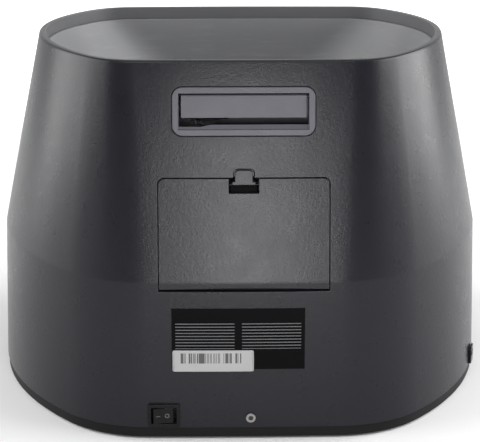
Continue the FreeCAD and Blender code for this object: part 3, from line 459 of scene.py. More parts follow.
@dataclass(frozen=True)
class PrintedPlate(Finish):
    """Glossy dark plate with two columns of empty ruled lines printed on it."""

    ink: Colour
    corner: Point
    column: float = 45.0 * MM
    margin: float = 2.5 * MM
    pitch: float = 2.2 * MM
    rule: float = 0.6 * MM
    ruled: tuple[float, float] = (13.4 * MM, 33.0 * MM)

    def paint(self, kit: Shading) -> None:
        """Join the ruled lines.

        Args:
            kit: Tree of the new material.
        """
        kit.fixed(Specular_IOR_Level=0.03)
        across, _through, up = kit.node("SeparateXYZ", (0, kit.moved(self.corner))).outputs
        lines = kit.combine(kit.combine(up, self.pitch, "FLOORED_MODULO"), self.rule, "LESS_THAN")
        across = kit.combine(across, self.column, "FLOORED_MODULO")
        lines = kit.within(lines, across, self.margin, self.column - self.margin)
        lines = kit.within(lines, up, *self.ruled)
        kit.drive("Base Color", kit.mix(lines, self.colour, self.ink))
        kit.drive("Roughness", kit.spread(kit.noise(scale=50.0, detail=4.0), low=0.1, high=0.24))
        kit.bump(kit.noise(scale=120.0), depth=0.02 * MM, strength=0.3)


@dataclass(frozen=True)
class BarredPaper(Finish):
    """White paper label with a band of plain upright bars."""

    ink: Colour
    start: Point
    span: tuple[float, float] = (41.0 * MM, 7.2 * MM)
    bars: float = 2500.0

    def paint(self, kit: Shading) -> None:
        """Join the bars and the fibres.

        Args:
            kit: Tree of the new material.
        """
        across, _through, up = kit.node("SeparateXYZ", (0, kit.moved(self.start))).outputs
        along = kit.node("CombineXYZ", ("X", kit.combine(across, self.bars, "MULTIPLY"))).outputs[0]
        cells = kit.node("VectorMath", (0, along), operation="FLOOR").outputs[0]
        chance = kit.node("TexWhiteNoise", ("Vector", cells)).outputs["Value"]
        bars = kit.combine(chance, 0.5, "GREATER_THAN")
        for axis, size in zip((across, up), self.span):
            bars = kit.within(bars, axis, 0.0, size)
        fibre = self.tones(kit, kit.noise(scale=700.0, detail=3.0), 0.96, 1.0)
        kit.drive("Base Color", kit.mix(bars, fibre, self.ink))
        kit.drive("Roughness", kit.spread(kit.noise(scale=200.0), low=0.45, high=0.6))
        kit.bump(kit.noise(scale=800.0, detail=3.0), depth=0.02 * MM, strength=0.5)


@dataclass(frozen=True)
class CircuitBoard(Finish):
    """Lacquered board with a maze of copper runs under the lacquer."""

    copper: Colour

    def paint(self, kit: Shading) -> None:
        """Join the copper runs and the lacquer.

        Args:
            kit: Tree of the new material.
        """
        maze = kit.node("TexBrick", ("Vector", kit.place), ("Scale", 130.0), ("Mortar Size", 0.06),
                        ("Color1", (0, 0, 0, 1)), ("Color2", (0, 0, 0, 1)), ("Mortar", (1, 1, 1, 1)))
        runs = kit.combine(maze.outputs["Fac"], 0.5, "MULTIPLY")
        lacquer = self.tones(kit, kit.noise(scale=25.0, detail=3.0), 0.8, 1.15)
        kit.drive("Base Color", kit.mix(runs, lacquer, self.copper))
        kit.drive("Roughness", kit.spread(kit.noise(scale=80.0), low=0.25, high=0.4))
        kit.bump(maze.outputs["Fac"], depth=0.06 * MM, strength=0.5)


@cache
def material_of(finish: Finish) -> bpy.types.Material:
    """Material of a finish, made once."""
    return finish.make()


HOUSING = MouldedPlastic("charcoal_housing", (0.0086, 0.0089, 0.0122), rough=0.28, grain=1100.0,
                         grain_depth=0.07 * MM, specular=0.25)
BASE_TRAY = MouldedPlastic("dark_base", (0.0062, 0.0064, 0.0067), rough=0.5, specular=0.13)
# Inside of the housing's lip: its own dark plastic painted a lighter grey, as painted light from above.
LIP_PAINTED_LIGHT = MouldedPlastic("lip_painted_light", (0.1, 0.101, 0.107), rough=0.4, grain_depth=0.02 * MM)
# Slide deep behind the latch's thumb piece: near-black as painted shade of its recess, not the plastic's own
# colour.
LATCH_SLIDE_SHADE = MouldedPlastic("latch_slide_painted_shade", (0.003, 0.003, 0.003), rough=0.6, specular=0.05)
HANDLE = MouldedPlastic("grey_handle", (0.052, 0.0528, 0.065), rough=0.42, grain_depth=0.02 * MM)
BOWL = MouldedPlastic("grey_bowl", (0.17, 0.172, 0.178), rough=0.4, rubbed=0.3)
DRAWER = MouldedPlastic("drawer_grey", (0.075, 0.076, 0.082), rough=0.4)
PANEL = MouldedPlastic("panel_silver", (0.2, 0.202, 0.21), rough=0.36, grain_depth=0.02 * MM)
KEYCAP = MouldedPlastic("key_black", (0.03, 0.031, 0.033), rough=0.5, grain_depth=0.02 * MM)
ACETAL = MouldedPlastic("natural_acetal", (0.62, 0.6, 0.53), rough=0.4, grain_depth=0.01 * MM)
SWITCH_PRINT = MouldedPlastic("grey_print", (0.15, 0.15, 0.15), rough=0.5, grain_depth=0.01 * MM, rubbed=0.0)
PRINT = MouldedPlastic("white_print", (0.72, 0.72, 0.7), rough=0.5, grain_depth=0.01 * MM, rubbed=0.0)
SWITCH = GlossPlastic("switch_black", (0.006, 0.006, 0.0065), rough=0.24, specular=0.16)
SMOKED = GlossPlastic("smoked_window", (0.05, 0.055, 0.06), rough=0.06, cover=0.22)
LCD = GlossPlastic("display_face", (0.23, 0.29, 0.2), rough=0.3)
SEGMENT = GlossPlastic("display_segment", (0.012, 0.016, 0.012), rough=0.3)
GHOST = GlossPlastic("display_ghost", (0.19, 0.24, 0.165), rough=0.3)
STEEL = Metal("plain_steel", (0.5, 0.5, 0.5), rough=0.34, lay=Lay.UPRIGHT)
RAIL_STEEL = Metal("rail_steel", (0.55, 0.55, 0.56), rough=0.26, lay=Lay.ALONG_X)
SCREW = Metal("plated_screw", (0.28, 0.276, 0.268), rough=0.36)
# Flat dark six-sided sheet on the rear screw: painted shade that stands for its drive recess.
DRIVE_SHADE = Metal("screw_socket_shade", (0.065, 0.063, 0.059), rough=0.5)
DARK_PIN = Metal("dark_pin", (0.04, 0.04, 0.045), rough=0.45)
DISC_METAL = TurnedMetal("turned_disc", (0.62, 0.62, 0.63), centre=(0.0, 0.022, 0.0))
FOOT_RUBBER = Rubber("foot_rubber", (0.02, 0.02, 0.02))
BELT_RUBBER = Rubber("belt_rubber", (0.03, 0.03, 0.03))
BOARD = CircuitBoard("green_board", (0.02, 0.12, 0.05), copper=(0.1, 0.3, 0.1))
PLATE = PrintedPlate("rating_plate", (0.0035, 0.0035, 0.004), ink=(0.12, 0.12, 0.125),
                     corner=(-0.041, 0.0, 0.0522))
PAPER = BarredPaper("bar_paper", (0.32, 0.32, 0.322), ink=(0.05, 0.05, 0.05), start=(0.002, 0.0, 0.0554))


class Mark(Enum):
    """Plain symbols that stand on keys and switches."""

    BAR = "bar"
    TWIN_BARS = "twin bars"
    RING = "ring"
    SQUARE = "square"
    UP = "up"
    DOWN = "down"


class TrueFaces:
    """Faces of a solid, asked for their smooth direction at a point."""

    def __init__(self, node: str) -> None:
        """Read the faces of one solid.

        Args:
            node: Name of the solid.
        """
        mesh = frame["nodes"][node].data
        self.points = [vert.co.copy() for vert in mesh.vertices]
        self.faces = [(face.normal.copy(), tuple(face.vertices), tuple(face.loop_indices))
                      for face in mesh.polygons]
        self.corners = [corner.vector.copy() for corner in mesh.corner_normals]
        self.tree = BVHTree.FromPolygons(self.points, [face[1] for face in self.faces])

    def direction(self, spot: Vector, facing: Vector, reach: float = 0.05 * MM) -> Vector:
        """Direction of the solid's surface next to a point.

        Args:
            spot: The point.
            facing: Rough direction that the surface has there.
            reach: How far from the point the surface may lie.

        Returns:
            The direction, or the rough one where no such face is near.
        """
        near = [self.faces[found[2]] for found in self.tree.find_nearest_range(spot, reach)]
        normal, verts, loops = max(near, key=lambda face: face[0].dot(facing), default=(Vector(), (), ()))
        if normal.dot(facing) < SAME_FACE:
            return facing.copy()
        shares = poly_3d_calc([self.points[index] for index in verts], spot)
        parts = (share * self.corners[index] for share, index in zip(shares, loops))
        return sum(parts, Vector()).normalized()

    def spread(self, shape: Shape) -> list[Vector]:
        """Directions for every face corner of a rounded copy of the solid.

        Args:
            shape: The copy, whose rounded faces are marked in its face layer.

        Returns:
            One direction for each corner, in the order of the faces.
        """
        shape.normal_update()
        shape.verts.index_update()
        fresh = shape.faces.layers.int[ROUNDED]
        found = []
        for face in shape.faces:
            for vert in (loop.vert for loop in face.loops):
                alike = [near for near in vert.link_faces
                         if near.normal.dot(face.normal) > SAME_SIDE] or [face]
                flat = [near for near in alike if not near[fresh]] if face[fresh] else [face]
                best = max(flat, key=lambda near: near.normal.dot(face.normal), default=None)
                if best:
                    found.append(self.direction(vert.co, best.normal))
                else:
                    same = (near.normal for near in alike if near[fresh] == face[fresh])
                    found.append(sum(same, Vector()).normalized())
        return self.joined(shape, found)

    def joined(self, shape: Shape, found: list[Vector]) -> list[Vector]:
        """Directions evened out where two patches of the surface run into each other without an edge.

        Args:
            shape: The copy.
            found: One direction for each face corner, in the order of the faces.

        Returns:
            The evened directions, in the same order.
        """
        loops = (loop for face in shape.faces for loop in face.loops)
        corners = [(loop.vert.index, way) for loop, way in zip(loops, found)]
        around: dict[int, set[Point]] = {}
        for vert, way in corners:
            around.setdefault(vert, set()).add(tuple(round(part, 3) for part in way))
        nearby = math.cos(SMOOTH_TURN)
        evened = []
        for vert, way in corners:
            alike = [Vector(other) for other in sorted(around[vert]) if way.dot(Vector(other)) > nearby]
            evened.append(sum(alike, Vector()).normalized() if len(alike) > 1 else way)
        return evened


@dataclass
class Assembly:
    """Group of pieces that are dressed together."""

    made: list[bpy.types.Object] = field(default_factory=list, init=False)

    def keep(self, finish: Finish, *nodes: str) -> None:
        """Show solids as they are, with a finish.

        Args:
            finish: Finish of the solids.
            nodes: Names of the solids.
        """
        for name in nodes:
            solid = frame["nodes"][name]
            for slot in solid.material_slots:
                slot.material = material_of(finish)
            self.made.append(solid)

    def add(self, name: str, shape: Shape, finish: Finish, body: str, slot: str,
            directions: list[Vector] | None = None) -> bpy.types.Object:
        """Turn a finished shape into a piece that rides on a body.

        Args:
            name: Name of the piece.
            shape: The shape, in the frame's metres; it is freed.
            finish: Finish of the piece.
            body: Moving body that carries it.
            slot: Material slot of the record; not used.
            directions: Direction of the surface at each face corner, or None to work them out.

        Returns:
            The piece.
        """
        mesh = bpy.data.meshes.new(name)
        shape.to_mesh(mesh)
        shape.free()
        mesh.shade_smooth()
        mesh.set_sharp_from_angle(angle=EDGE_TURN)
        piece = bpy.data.objects.new(name, mesh)
        bpy.context.scene.collection.objects.link(piece)
        mesh.materials.append(material_of(finish))
        if directions:
            mesh.normals_split_custom_set(directions)
        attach(piece, body)
        self.made.append(piece)
        return piece

    def ease(self, finish: Finish, radius: float, *nodes: str) -> list[bpy.types.Object]:
        """Show solids with their sharp edges rounded.

        Args:
            finish: Finish of the solids.
            radius: Width of the rounding, in metres.
            nodes: Names of the solids.

        Returns:
            The pieces that stand for the solids.
        """
        pieces = []
        for node in nodes:
            shape = self.copied(node)
            self.rounded(shape, self.sharp(shape), radius)
            pieces.append(self.stand_in(node, shape, finish))
        return pieces

    def sharp(self, shape: Shape, lowest: float = 0.0) -> list[Edge]:
        """Edges of a shape that turn sharply.

        Args:
            shape: The shape.
            lowest: Height below which edges are left as they are.

        Returns:
            The edges.
        """
        return [edge for edge in shape.edges if edge.calc_face_angle() > SHARP_TURN
                and min(vert.co.z for vert in edge.verts) >= lowest]

    def soften_crease(self, shape: Shape) -> None:
        """Round the level crease where the wall of the body changes its slope.

        Args:
            shape: The shape.
        """
        low, high = CREASE_TURN
        crease = [edge for edge in shape.edges if low < edge.calc_face_angle() < high
                  and all(abs(vert.co.z - CREASE_HEIGHT) < CREASE_SLACK for vert in edge.verts)]
        self.rounded(shape, crease, CREASE_SOFT, CREASE_STEPS)

    def copied(self, node: str) -> Shape:
        """Merged copy of a solid's mesh with its flat faces joined.

        Args:
            node: Name of the solid.

        Returns:
            The copy.
        """
        shape = bmesh.new()
        shape.faces.layers.int.new(ROUNDED)
        shape.from_mesh(frame["nodes"][node].data)
        bmesh.ops.remove_doubles(shape, verts=shape.verts, dist=MERGE_REACH)
        bmesh.ops.dissolve_limit(shape, angle_limit=FLAT_TURN, verts=shape.verts, edges=shape.edges)
        return shape

    def rounded(self, shape: Shape, edges: list[Edge], radius: float, steps: int = EDGE_STEPS) -> None:
        """Round chosen edges of a shape.

        Args:
            shape: The shape.
            edges: Edges to round.
            radius: Width of the rounding, in metres.
            steps: Faces across the rounding.
        """
        fresh = shape.faces.layers.int[ROUNDED]
        turn = 1 + max(face[fresh] for face in shape.faces)
        made = bmesh.ops.bevel(shape, geom=edges, offset=radius, offset_type="OFFSET", affect="EDGES",
                               segments=steps, profile=0.5, material=-1, clamp_overlap=False)
        for face in made["faces"]:
            face[fresh] = turn

    def stand_in(self, node: str, shape: Shape, finish: Finish) -> bpy.types.Object:
        """Put a rounded copy in the place of a solid.

        Args:
            node: Name of the solid.
            shape: The copy that stands for it; it is freed.
            finish: Finish of the piece.

        Returns:
            The piece.
        """
        solid = frame["nodes"][node]
        directions = TrueFaces(node).spread(shape)
        piece = self.add(node + "_eased", shape, finish, solid["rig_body"], NODE_SLOT[node], directions)
        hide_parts(node)
        return piece

    def block(self, shape: Shape, place: Matrix, size: Point, at: Point = (0, 0, 0)) -> None:
        """Add a thin block.

        Args:
            shape: Shape that the block joins.
            place: Frame that the block lies in.
            size: Its three sizes, in metres.
            at: Its middle in that frame.
        """
        scale = Matrix.Diagonal((*size, 1.0))
        bmesh.ops.create_cube(shape, size=1.0, matrix=place @ Matrix.Translation(at) @ scale)

    def ring(self, shape: Shape, place: Matrix, outer: float, width: float, thick: float,
             at: Point = (0, 0, 0)) -> None:
        """Add a flat ring by turning its square section about the frame's Z axis.

        Args:
            shape: Shape that the ring joins.
            place: Frame that the ring lies in.
            outer: Outer radius.
            width: Width of the band.
            thick: Thickness, half above and half below the frame.
            at: Centre of the ring in that frame.
        """
        here = place @ Matrix.Translation(at)
        inner, half = outer - width, thick / 2
        corners = ((inner, -half), (outer, -half), (outer, half), (inner, half))
        section = [shape.verts.new(here @ Vector((reach, 0.0, up))) for reach, up in corners]
        sides = [shape.edges.new((section[index - 1], section[index])) for index in range(len(section))]
        bmesh.ops.spin(shape, geom=section + sides, cent=here.translation,
                       axis=here.col[2].xyz, angle=2 * math.pi, steps=RING_STEPS, use_merge=True)
        bmesh.ops.recalc_face_normals(shape, faces=shape.faces)

    def prism(self, shape: Shape, place: Matrix, sides: int, reach: float, thick: float) -> None:
        """Add a flat regular prism with a corner on the frame's Y axis.

        Args:
            shape: Shape that the prism joins.
            place: Frame that the prism lies in.
            sides: Number of its sides.
            reach: Distance from its middle to a corner.
            thick: Thickness, half above and half below the frame.
        """
        bmesh.ops.create_cone(shape, cap_ends=True, segments=sides, radius1=reach, radius2=reach, depth=thick,
                              matrix=place)

    def symbol(self, mark: Mark, place: Matrix, size: float, weight: float = 0.2) -> Shape:
        """Shape of a printed symbol, half of whose thickness lies in the face.

        Args:
            mark: Which symbol.
            place: Frame with the symbol's middle at its origin, on the face that carries it.
            size: Height of the symbol.
            weight: Width of its strokes as a share of its height.

        Returns:
            The shape.
        """
        twin_place, square_side, arrow_reach = 0.28 * size, 0.85 * size, 0.62 * size
        thick = PRINT_THICK
        shape = bmesh.new()
        if mark is Mark.BAR:
            self.block(shape, place, (size, size * weight, thick))
        elif mark is Mark.TWIN_BARS:
            for side in (-twin_place, twin_place):
                self.block(shape, place, (size * weight, size, thick), (side, 0.0, 0.0))
        elif mark is Mark.RING:
            self.ring(shape, place, size / 2, size * weight, thick)
        elif mark is Mark.SQUARE:
            self.block(shape, place, (square_side, square_side, thick))
        else:
            turn = 0.0 if mark is Mark.UP else math.pi
            self.prism(shape, place @ Matrix.Rotation(turn, 4, "Z"), 3, arrow_reach, thick)
        return shape

    def touch(self, node: str, start: Point, along: Point) -> Matrix:
        """Frame on the face of a solid that a straight line meets, with Z out of the face and X level.

        Args:
            node: Name of the solid.
            start: Start of the line.
            along: Direction of the line.

        Returns:
            The frame.
        """
        _hit, spot, normal, _index = frame["nodes"][node].ray_cast(Vector(start), Vector(along))
        right = Vector((0.0, 0.0, 1.0)).cross(normal).normalized()
        return upright(spot, right, normal)

    def rear_of(self, node: str, across: float, height: float) -> Matrix:
        """Frame on the rear of a solid, at a place across it and a height."""
        return self.touch(node, (across, OUTSIDE, height), (0.0, -1.0, 0.0))

    def front_of(self, node: str, across: float, height: float) -> Matrix:
        """Frame on the front of a solid, at a place across it and a height."""
        return self.touch(node, (across, -OUTSIDE, height), (0.0, 1.0, 0.0))

    def report(self) -> None:
        """Log the pieces of this group."""
        for piece in self.made:
            LOG.info("%s: %s, %d faces", type(self).__name__, piece.name, len(piece.data.polygons))


def middle_of(node: str) -> Vector:
    """Middle of the box round a solid."""
    low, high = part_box(node)
    return (Vector(low) + Vector(high)) / 2


def upright(spot: Vector, right: Vector, out: Vector) -> Matrix:
    """Frame from an origin, its X axis and its Z axis.

    Args:
        spot: Origin.
        right: Direction of X.
        out: Direction of Z.

    Returns:
        The frame.
    """
    turn = Matrix((right, out.cross(right), out)).transposed()
    return Matrix.Translation(spot) @ turn.to_4x4()


@dataclass
class Shell(Assembly):
    """Housing, base tray, feet, cord outlet and the fixings of the lower edge."""

    edge: float = 0.4 * MM
    foot_edge: float = 1.0 * MM
    drive_sides: int = 6
    drive_reach: float = 1.9 * MM
    lip_height: float = 240.0 * MM

    def build(self) -> None:
        """Dress the outer shell."""
        self.soften_housing()
        self.ease(BASE_TRAY, self.edge, "base_pan")
        self.ease(FOOT_RUBBER, self.foot_edge, "feet")
        self.keep(SCREW, "base_screws", "rear_screw")
        self.keep(SWITCH, "cord_gland")
        self.add_drive()

    def soften_housing(self) -> None:
        """Round the housing's crease widely and its other edges finely, and paint light on the inside of its
        lip.
        """
        shape = self.copied("housing")
        self.soften_crease(shape)
        self.rounded(shape, self.sharp(shape), self.edge)
        housing = self.stand_in("housing", shape, HOUSING)
        # Lip faces that look inwards above lip_height get the lighter grey: painted light on the housing's
        # own plastic.
        housing.data.materials.append(material_of(LIP_PAINTED_LIGHT))
        for face in housing.data.polygons:
            inwards = face.normal.xy.dot(face.center.xy) < 0
            face.material_index = int(inwards and face.center.z > self.lip_height)

    def add_drive(self) -> None:
        """Lay a dark six-sided sheet on the head of the rear screw, as painted shade of its drive."""
        middle = middle_of("rear_screw")
        place = self.rear_of("rear_screw", middle.x, middle.z)
        shape = bmesh.new()
        self.prism(shape, place, self.drive_sides, self.drive_reach, PRINT_THICK)
        self.add("rear_screw_drive_shade", shape, DRIVE_SHADE, "base", "screw_steel")


@dataclass
class CarryHandle(Assembly):
    """Finger cup with its frame and the fold-out grip."""

    edge: float = 0.7 * MM
    edge_steps: int = 3
    rim_middle: float = 2.0 * MM
    rim_turn: float = math.radians(50.0)
    scoop_depth: float = 9.8 * MM
    scoop_lip: float = 2.6 * MM
    slack: float = 0.05 * MM

    def build(self) -> None:
        """Dress the handle."""
        self.round_rim()
        self.keep(HANDLE, "handle_grip")
        self.keep(DARK_PIN, "handle_pin")

    def round_rim(self) -> None:
        """Round both edges of the frame's front face, and bring the scoop at its foot forward into a lip."""
        front = self.rear_of("handle_cup", 0.0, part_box("handle_cup")[0][2] + self.rim_middle)
        to_front = front.inverted()
        shape = self.copied("handle_cup")
        rim = [edge for edge in shape.edges if edge.calc_face_angle() > self.rim_turn
               and all(abs((to_front @ vert.co).z) < self.slack for vert in edge.verts)]
        crest = [vert for vert in shape.verts if abs((to_front @ vert.co).z + self.scoop_depth) < self.slack]
        forward = front.col[2].xyz * (self.scoop_depth - self.scoop_lip)
        bmesh.ops.translate(shape, verts=crest, vec=forward)
        self.rounded(shape, rim, self.edge, self.edge_steps)
        self.stand_in("handle_cup", shape, HANDLE)


@dataclass
class RearDoor(Assembly):
    """Access door with its hinge pins and latch."""

    edge: float = 0.35 * MM
    thumb: float = 4.0 * MM
    slide_depth: float = 2.3 * MM

    def build(self) -> None:
        """Dress the door."""
        self.soften_door()
        self.dress_latch()
        self.keep(DARK_PIN, "door_pins")

    def soften_door(self) -> None:
        """Round the door's crease as the housing's, and its edges above the hinge finely."""
        shape = self.copied("rear_door")
        self.soften_crease(shape)
        self.rounded(shape, self.sharp(shape, CREASE_HEIGHT + 2 * CREASE_SOFT), self.edge)
        self.stand_in("rear_door", shape, HOUSING)

    def dress_latch(self) -> None:
        """Dress the latch, with the slide behind its thumb piece in matt black as painted shade."""
        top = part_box("door_latch")[1][2]
        to_thumb = self.rear_of("door_latch", 0.0, top - self.thumb).inverted()
        for latch in self.ease(HOUSING, self.edge, "door_latch"):
            # Faces deeper than slide_depth behind the thumb piece are painted black as shade.
            latch.data.materials.append(material_of(LATCH_SLIDE_SHADE))
            for face in latch.data.polygons:
                face.material_index = int((to_thumb @ face.center).z < -self.slide_depth)


@dataclass
class RearLabels(Assembly):
    """Bare rating plate and the barred sticker on it."""

    corner: float = 1.2 * MM
    corner_steps: int = 3
    slack: float = 0.5 * MM

    def build(self) -> None:
        """Dress the two labels."""
        self.keep(PLATE, "rating_label")
        self.round_sticker()

    def round_sticker(self) -> None:
        """Round the four corners of the sticker."""
        (left, _back, foot), (right, _front, top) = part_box("bar_sticker")
        shape = self.copied("bar_sticker")
        ends = {vert for vert in shape.verts if min(vert.co.x - left, right - vert.co.x) < self.slack
                and min(vert.co.z - foot, top - vert.co.z) < self.slack}
        corners = [edge for edge in shape.edges if ends.issuperset(edge.verts)]
        self.rounded(shape, corners, self.corner, self.corner_steps)
        self.stand_in("bar_sticker", shape, PAPER)


@dataclass
class PowerSwitch(Assembly):
    """Rocker switch with its on and off marks."""

    edge: float = 0.3 * MM
    mark: float = 3.0 * MM
    mark_weight: float = 0.1
    mark_side: float = 3.1 * MM
    mark_shift: float = 1.2 * MM
    end: float = 1.2 * MM
    end_gap: float = 2.0 * MM

    def build(self) -> None:
        """Dress the switch."""
        self.add_marks()
        self.ease(SWITCH, self.edge, "switch_body")
        self.shorten_rocker()

    def shorten_rocker(self) -> None:
        """Draw in the pressed end of the rocker, so that a dark gap stands beside it."""
        shape = self.copied("switch_rocker")
        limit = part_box("switch_rocker")[0][0] + self.end
        end = [vert for vert in shape.verts if vert.co.x < limit]
        bmesh.ops.translate(shape, verts=end, vec=(self.end_gap, 0.0, 0.0))
        self.rounded(shape, self.sharp(shape), self.edge)
        self.stand_in("switch_rocker", shape, SWITCH)

    def add_marks(self) -> None:
        """Print a bar on the raised half of the rocker and a ring on the pressed half."""
        middle = middle_of("switch_rocker")
        for name, mark, side in (("on_mark", Mark.BAR, 1.0), ("off_mark", Mark.RING, -1.0)):
            across = middle.x + self.mark_shift + side * self.mark_side
            place = self.rear_of("switch_rocker", across, middle.z)
            shape = self.symbol(mark, place, self.mark, self.mark_weight)
            self.add(name, shape, SWITCH_PRINT, "rocker", "switch_plastic")


@dataclass
class Hopper(Assembly):
    """Funnel, feed disc and the plate under them."""

    edge: float = 0.4 * MM

    def build(self) -> None:
        """Dress the hopper."""
        self.ease(BOWL, self.edge, "hopper_bowl")
        self.keep(BOWL, "mech_deck", "exit_ramp")
        self.ease(DISC_METAL, self.edge, "feed_disc")
        self.keep(DISC_METAL, "disc_cap")


@dataclass
class Drive(Assembly):
    """Motor, gears, bearings and posts under the hopper."""

    def build(self) -> None:
        """Dress the drive."""
        self.keep(STEEL, "disc_spindle", "spindle_bearings", "drive_motor", "motor_bracket", "deck_posts")
        self.keep(SCREW, "deck_screws")
        self.keep(ACETAL, "disc_gear", "motor_pinion", "bearing_housing")


@dataclass
class Sorter(Assembly):
    """Sorting rail, belt and the drawer bay."""

    def build(self) -> None:
        """Dress the sorter."""
        self.keep(RAIL_STEEL, "sort_rail")
        self.keep(STEEL, "idler_bracket", "belt_motor_bracket", "belt_motor")
        self.keep(BELT_RUBBER, "coin_belt")
        self.keep(ACETAL, "drive_pulley", "idler_pulley")
        self.keep(BOARD, "sensor_strip")
        self.keep(BASE_TRAY, "drawer_rack")


@dataclass
class Drawers(Assembly):
    """Row of coin drawers, each with a printed ring for the size of its coin."""

    edge: float = 0.4 * MM
    ring_height: float = 42.0 * MM
    ring_share: float = 0.42
    ring_width: float = 0.9 * MM
    ring_thick: float = 0.16 * MM
    coins: tuple[float, ...] = (17.9, 19.1, 21.2, 24.3, 26.5, 30.6)

    def build(self) -> None:
        """Dress the drawers."""
        for number, coin in enumerate(self.coins, 1):
            node = f"coin_drawer_{number}"
            place = self.front_of(node, middle_of(node).x, self.ring_height)
            shape = bmesh.new()
            self.ring(shape, place, coin * MM * self.ring_share, self.ring_width, self.ring_thick)
            self.add(f"coin_ring_{number}", shape, PRINT, f"drawer_{number}", "drawer_plastic")
            self.ease(DRAWER, self.edge, node)


@dataclass
class Controls(Assembly):
    """Control panel with its display and keys."""

    edge: float = 0.5 * MM
    marks: tuple[Mark, ...] = (Mark.UP, Mark.DOWN, Mark.BAR, Mark.RING, Mark.TWIN_BARS, Mark.SQUARE)
    mark: float = 4.6 * MM
    digits: int = 6
    digit_pitch: float = 11.6 * MM
    digit_size: tuple[float, float] = (6.6 * MM, 13.0 * MM)
    stroke: float = 1.2 * MM
    stroke_thick: float = 0.06 * MM
    stroke_gap: float = 1.6
    plain: float = 6.0 * MM
    standoff: float = 100.0 * MM

    def build(self) -> None:
        """Dress the panel."""
        self.add_digits()
        keys = [f"key_{number}" for number in range(1, len(self.marks) + 1)]
        for node, mark in zip(keys, self.marks):
            self.add_mark(node, mark)
        self.ease(PANEL, self.edge, "control_panel")
        self.ease(KEYCAP, self.edge, *keys)
        self.keep(SMOKED, "display_window")
        self.keep(LCD, "display_module")
        self.keep(BOARD, "key_board")

    def face_of(self, node: str) -> Matrix:
        """Frame in the middle of the sloping front face of a solid in the panel.

        Args:
            node: Name of the solid.

        Returns:
            The frame.
        """
        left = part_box("control_panel")[0][0]
        out = self.front_of("control_panel", left + self.plain, middle_of("control_panel").z).col[2].xyz
        return self.touch(node, middle_of(node) + out * self.standoff, -out)

    def add_mark(self, node: str, mark: Mark) -> None:
        """Print a symbol on a key.

        Args:
            node: Name of the key's solid and of its body.
            mark: The symbol.
        """
        shape = self.symbol(mark, self.face_of(node), self.mark)
        self.add(node + "_mark", shape, PRINT, node, "key_plastic")

    def add_digits(self) -> None:
        """Lay the bars of the display's digits on its face: the last digit lit as a nought, the rest dim."""
        place = self.face_of("display_module")
        wide, tall = self.digit_size
        gap = self.stroke * self.stroke_gap
        bars = [((0.0, tall / 2), True, True), ((0.0, 0.0), True, False), ((0.0, -tall / 2), True, True)]
        bars += [((side * wide / 2, level * tall / 4), False, True) for side in (-1, 1) for level in (-1, 1)]
        lit, dim = bmesh.new(), bmesh.new()
        for digit in range(self.digits):
            left = (digit - (self.digits - 1) / 2) * self.digit_pitch
            last = digit == self.digits - 1
            for (x, y), level, in_nought in bars:
                size = (wide - gap, self.stroke) if level else (self.stroke, tall / 2 - gap)
                chosen = lit if last and in_nought else dim
                self.block(chosen, place, (*size, self.stroke_thick), (left + x, y, 0.0))
        self.add("display_lit", lit, SEGMENT, "base", "display_face")
        self.add("display_dim", dim, GHOST, "base", "display_face")


@dataclass
class Electrics(Assembly):
    """Control board and power supply on the base tray."""

    def build(self) -> None:
        """Dress the electrics."""
        self.keep(BOARD, "main_board")
        self.keep(STEEL, "power_supply")


@dataclass
class Lamp:
    """One soft rectangular lamp that faces a point."""

    name: str
    at: Point
    aim: Point
    wide: float
    tall: float
    power: float
    roll: float = 0.0

    def light(self) -> None:
        """Hang the lamp in the scene."""
        data = bpy.data.lights.new(self.name, "AREA")
        data.shape = "RECTANGLE"
        data.size, data.size_y = self.wide, self.tall
        data.energy = self.power
        lamp = bpy.data.objects.new(self.name, data)
        bpy.context.scene.collection.objects.link(lamp)
        lamp.location = self.at
        lamp.visible_camera = False
        lamp.rotation_mode = "QUATERNION"
        facing = (Vector(self.aim) - Vector(self.at)).to_track_quat("-Z", "Y")
        lamp.rotation_quaternion = facing @ Quaternion((0.0, 0.0, 1.0), math.radians(self.roll))


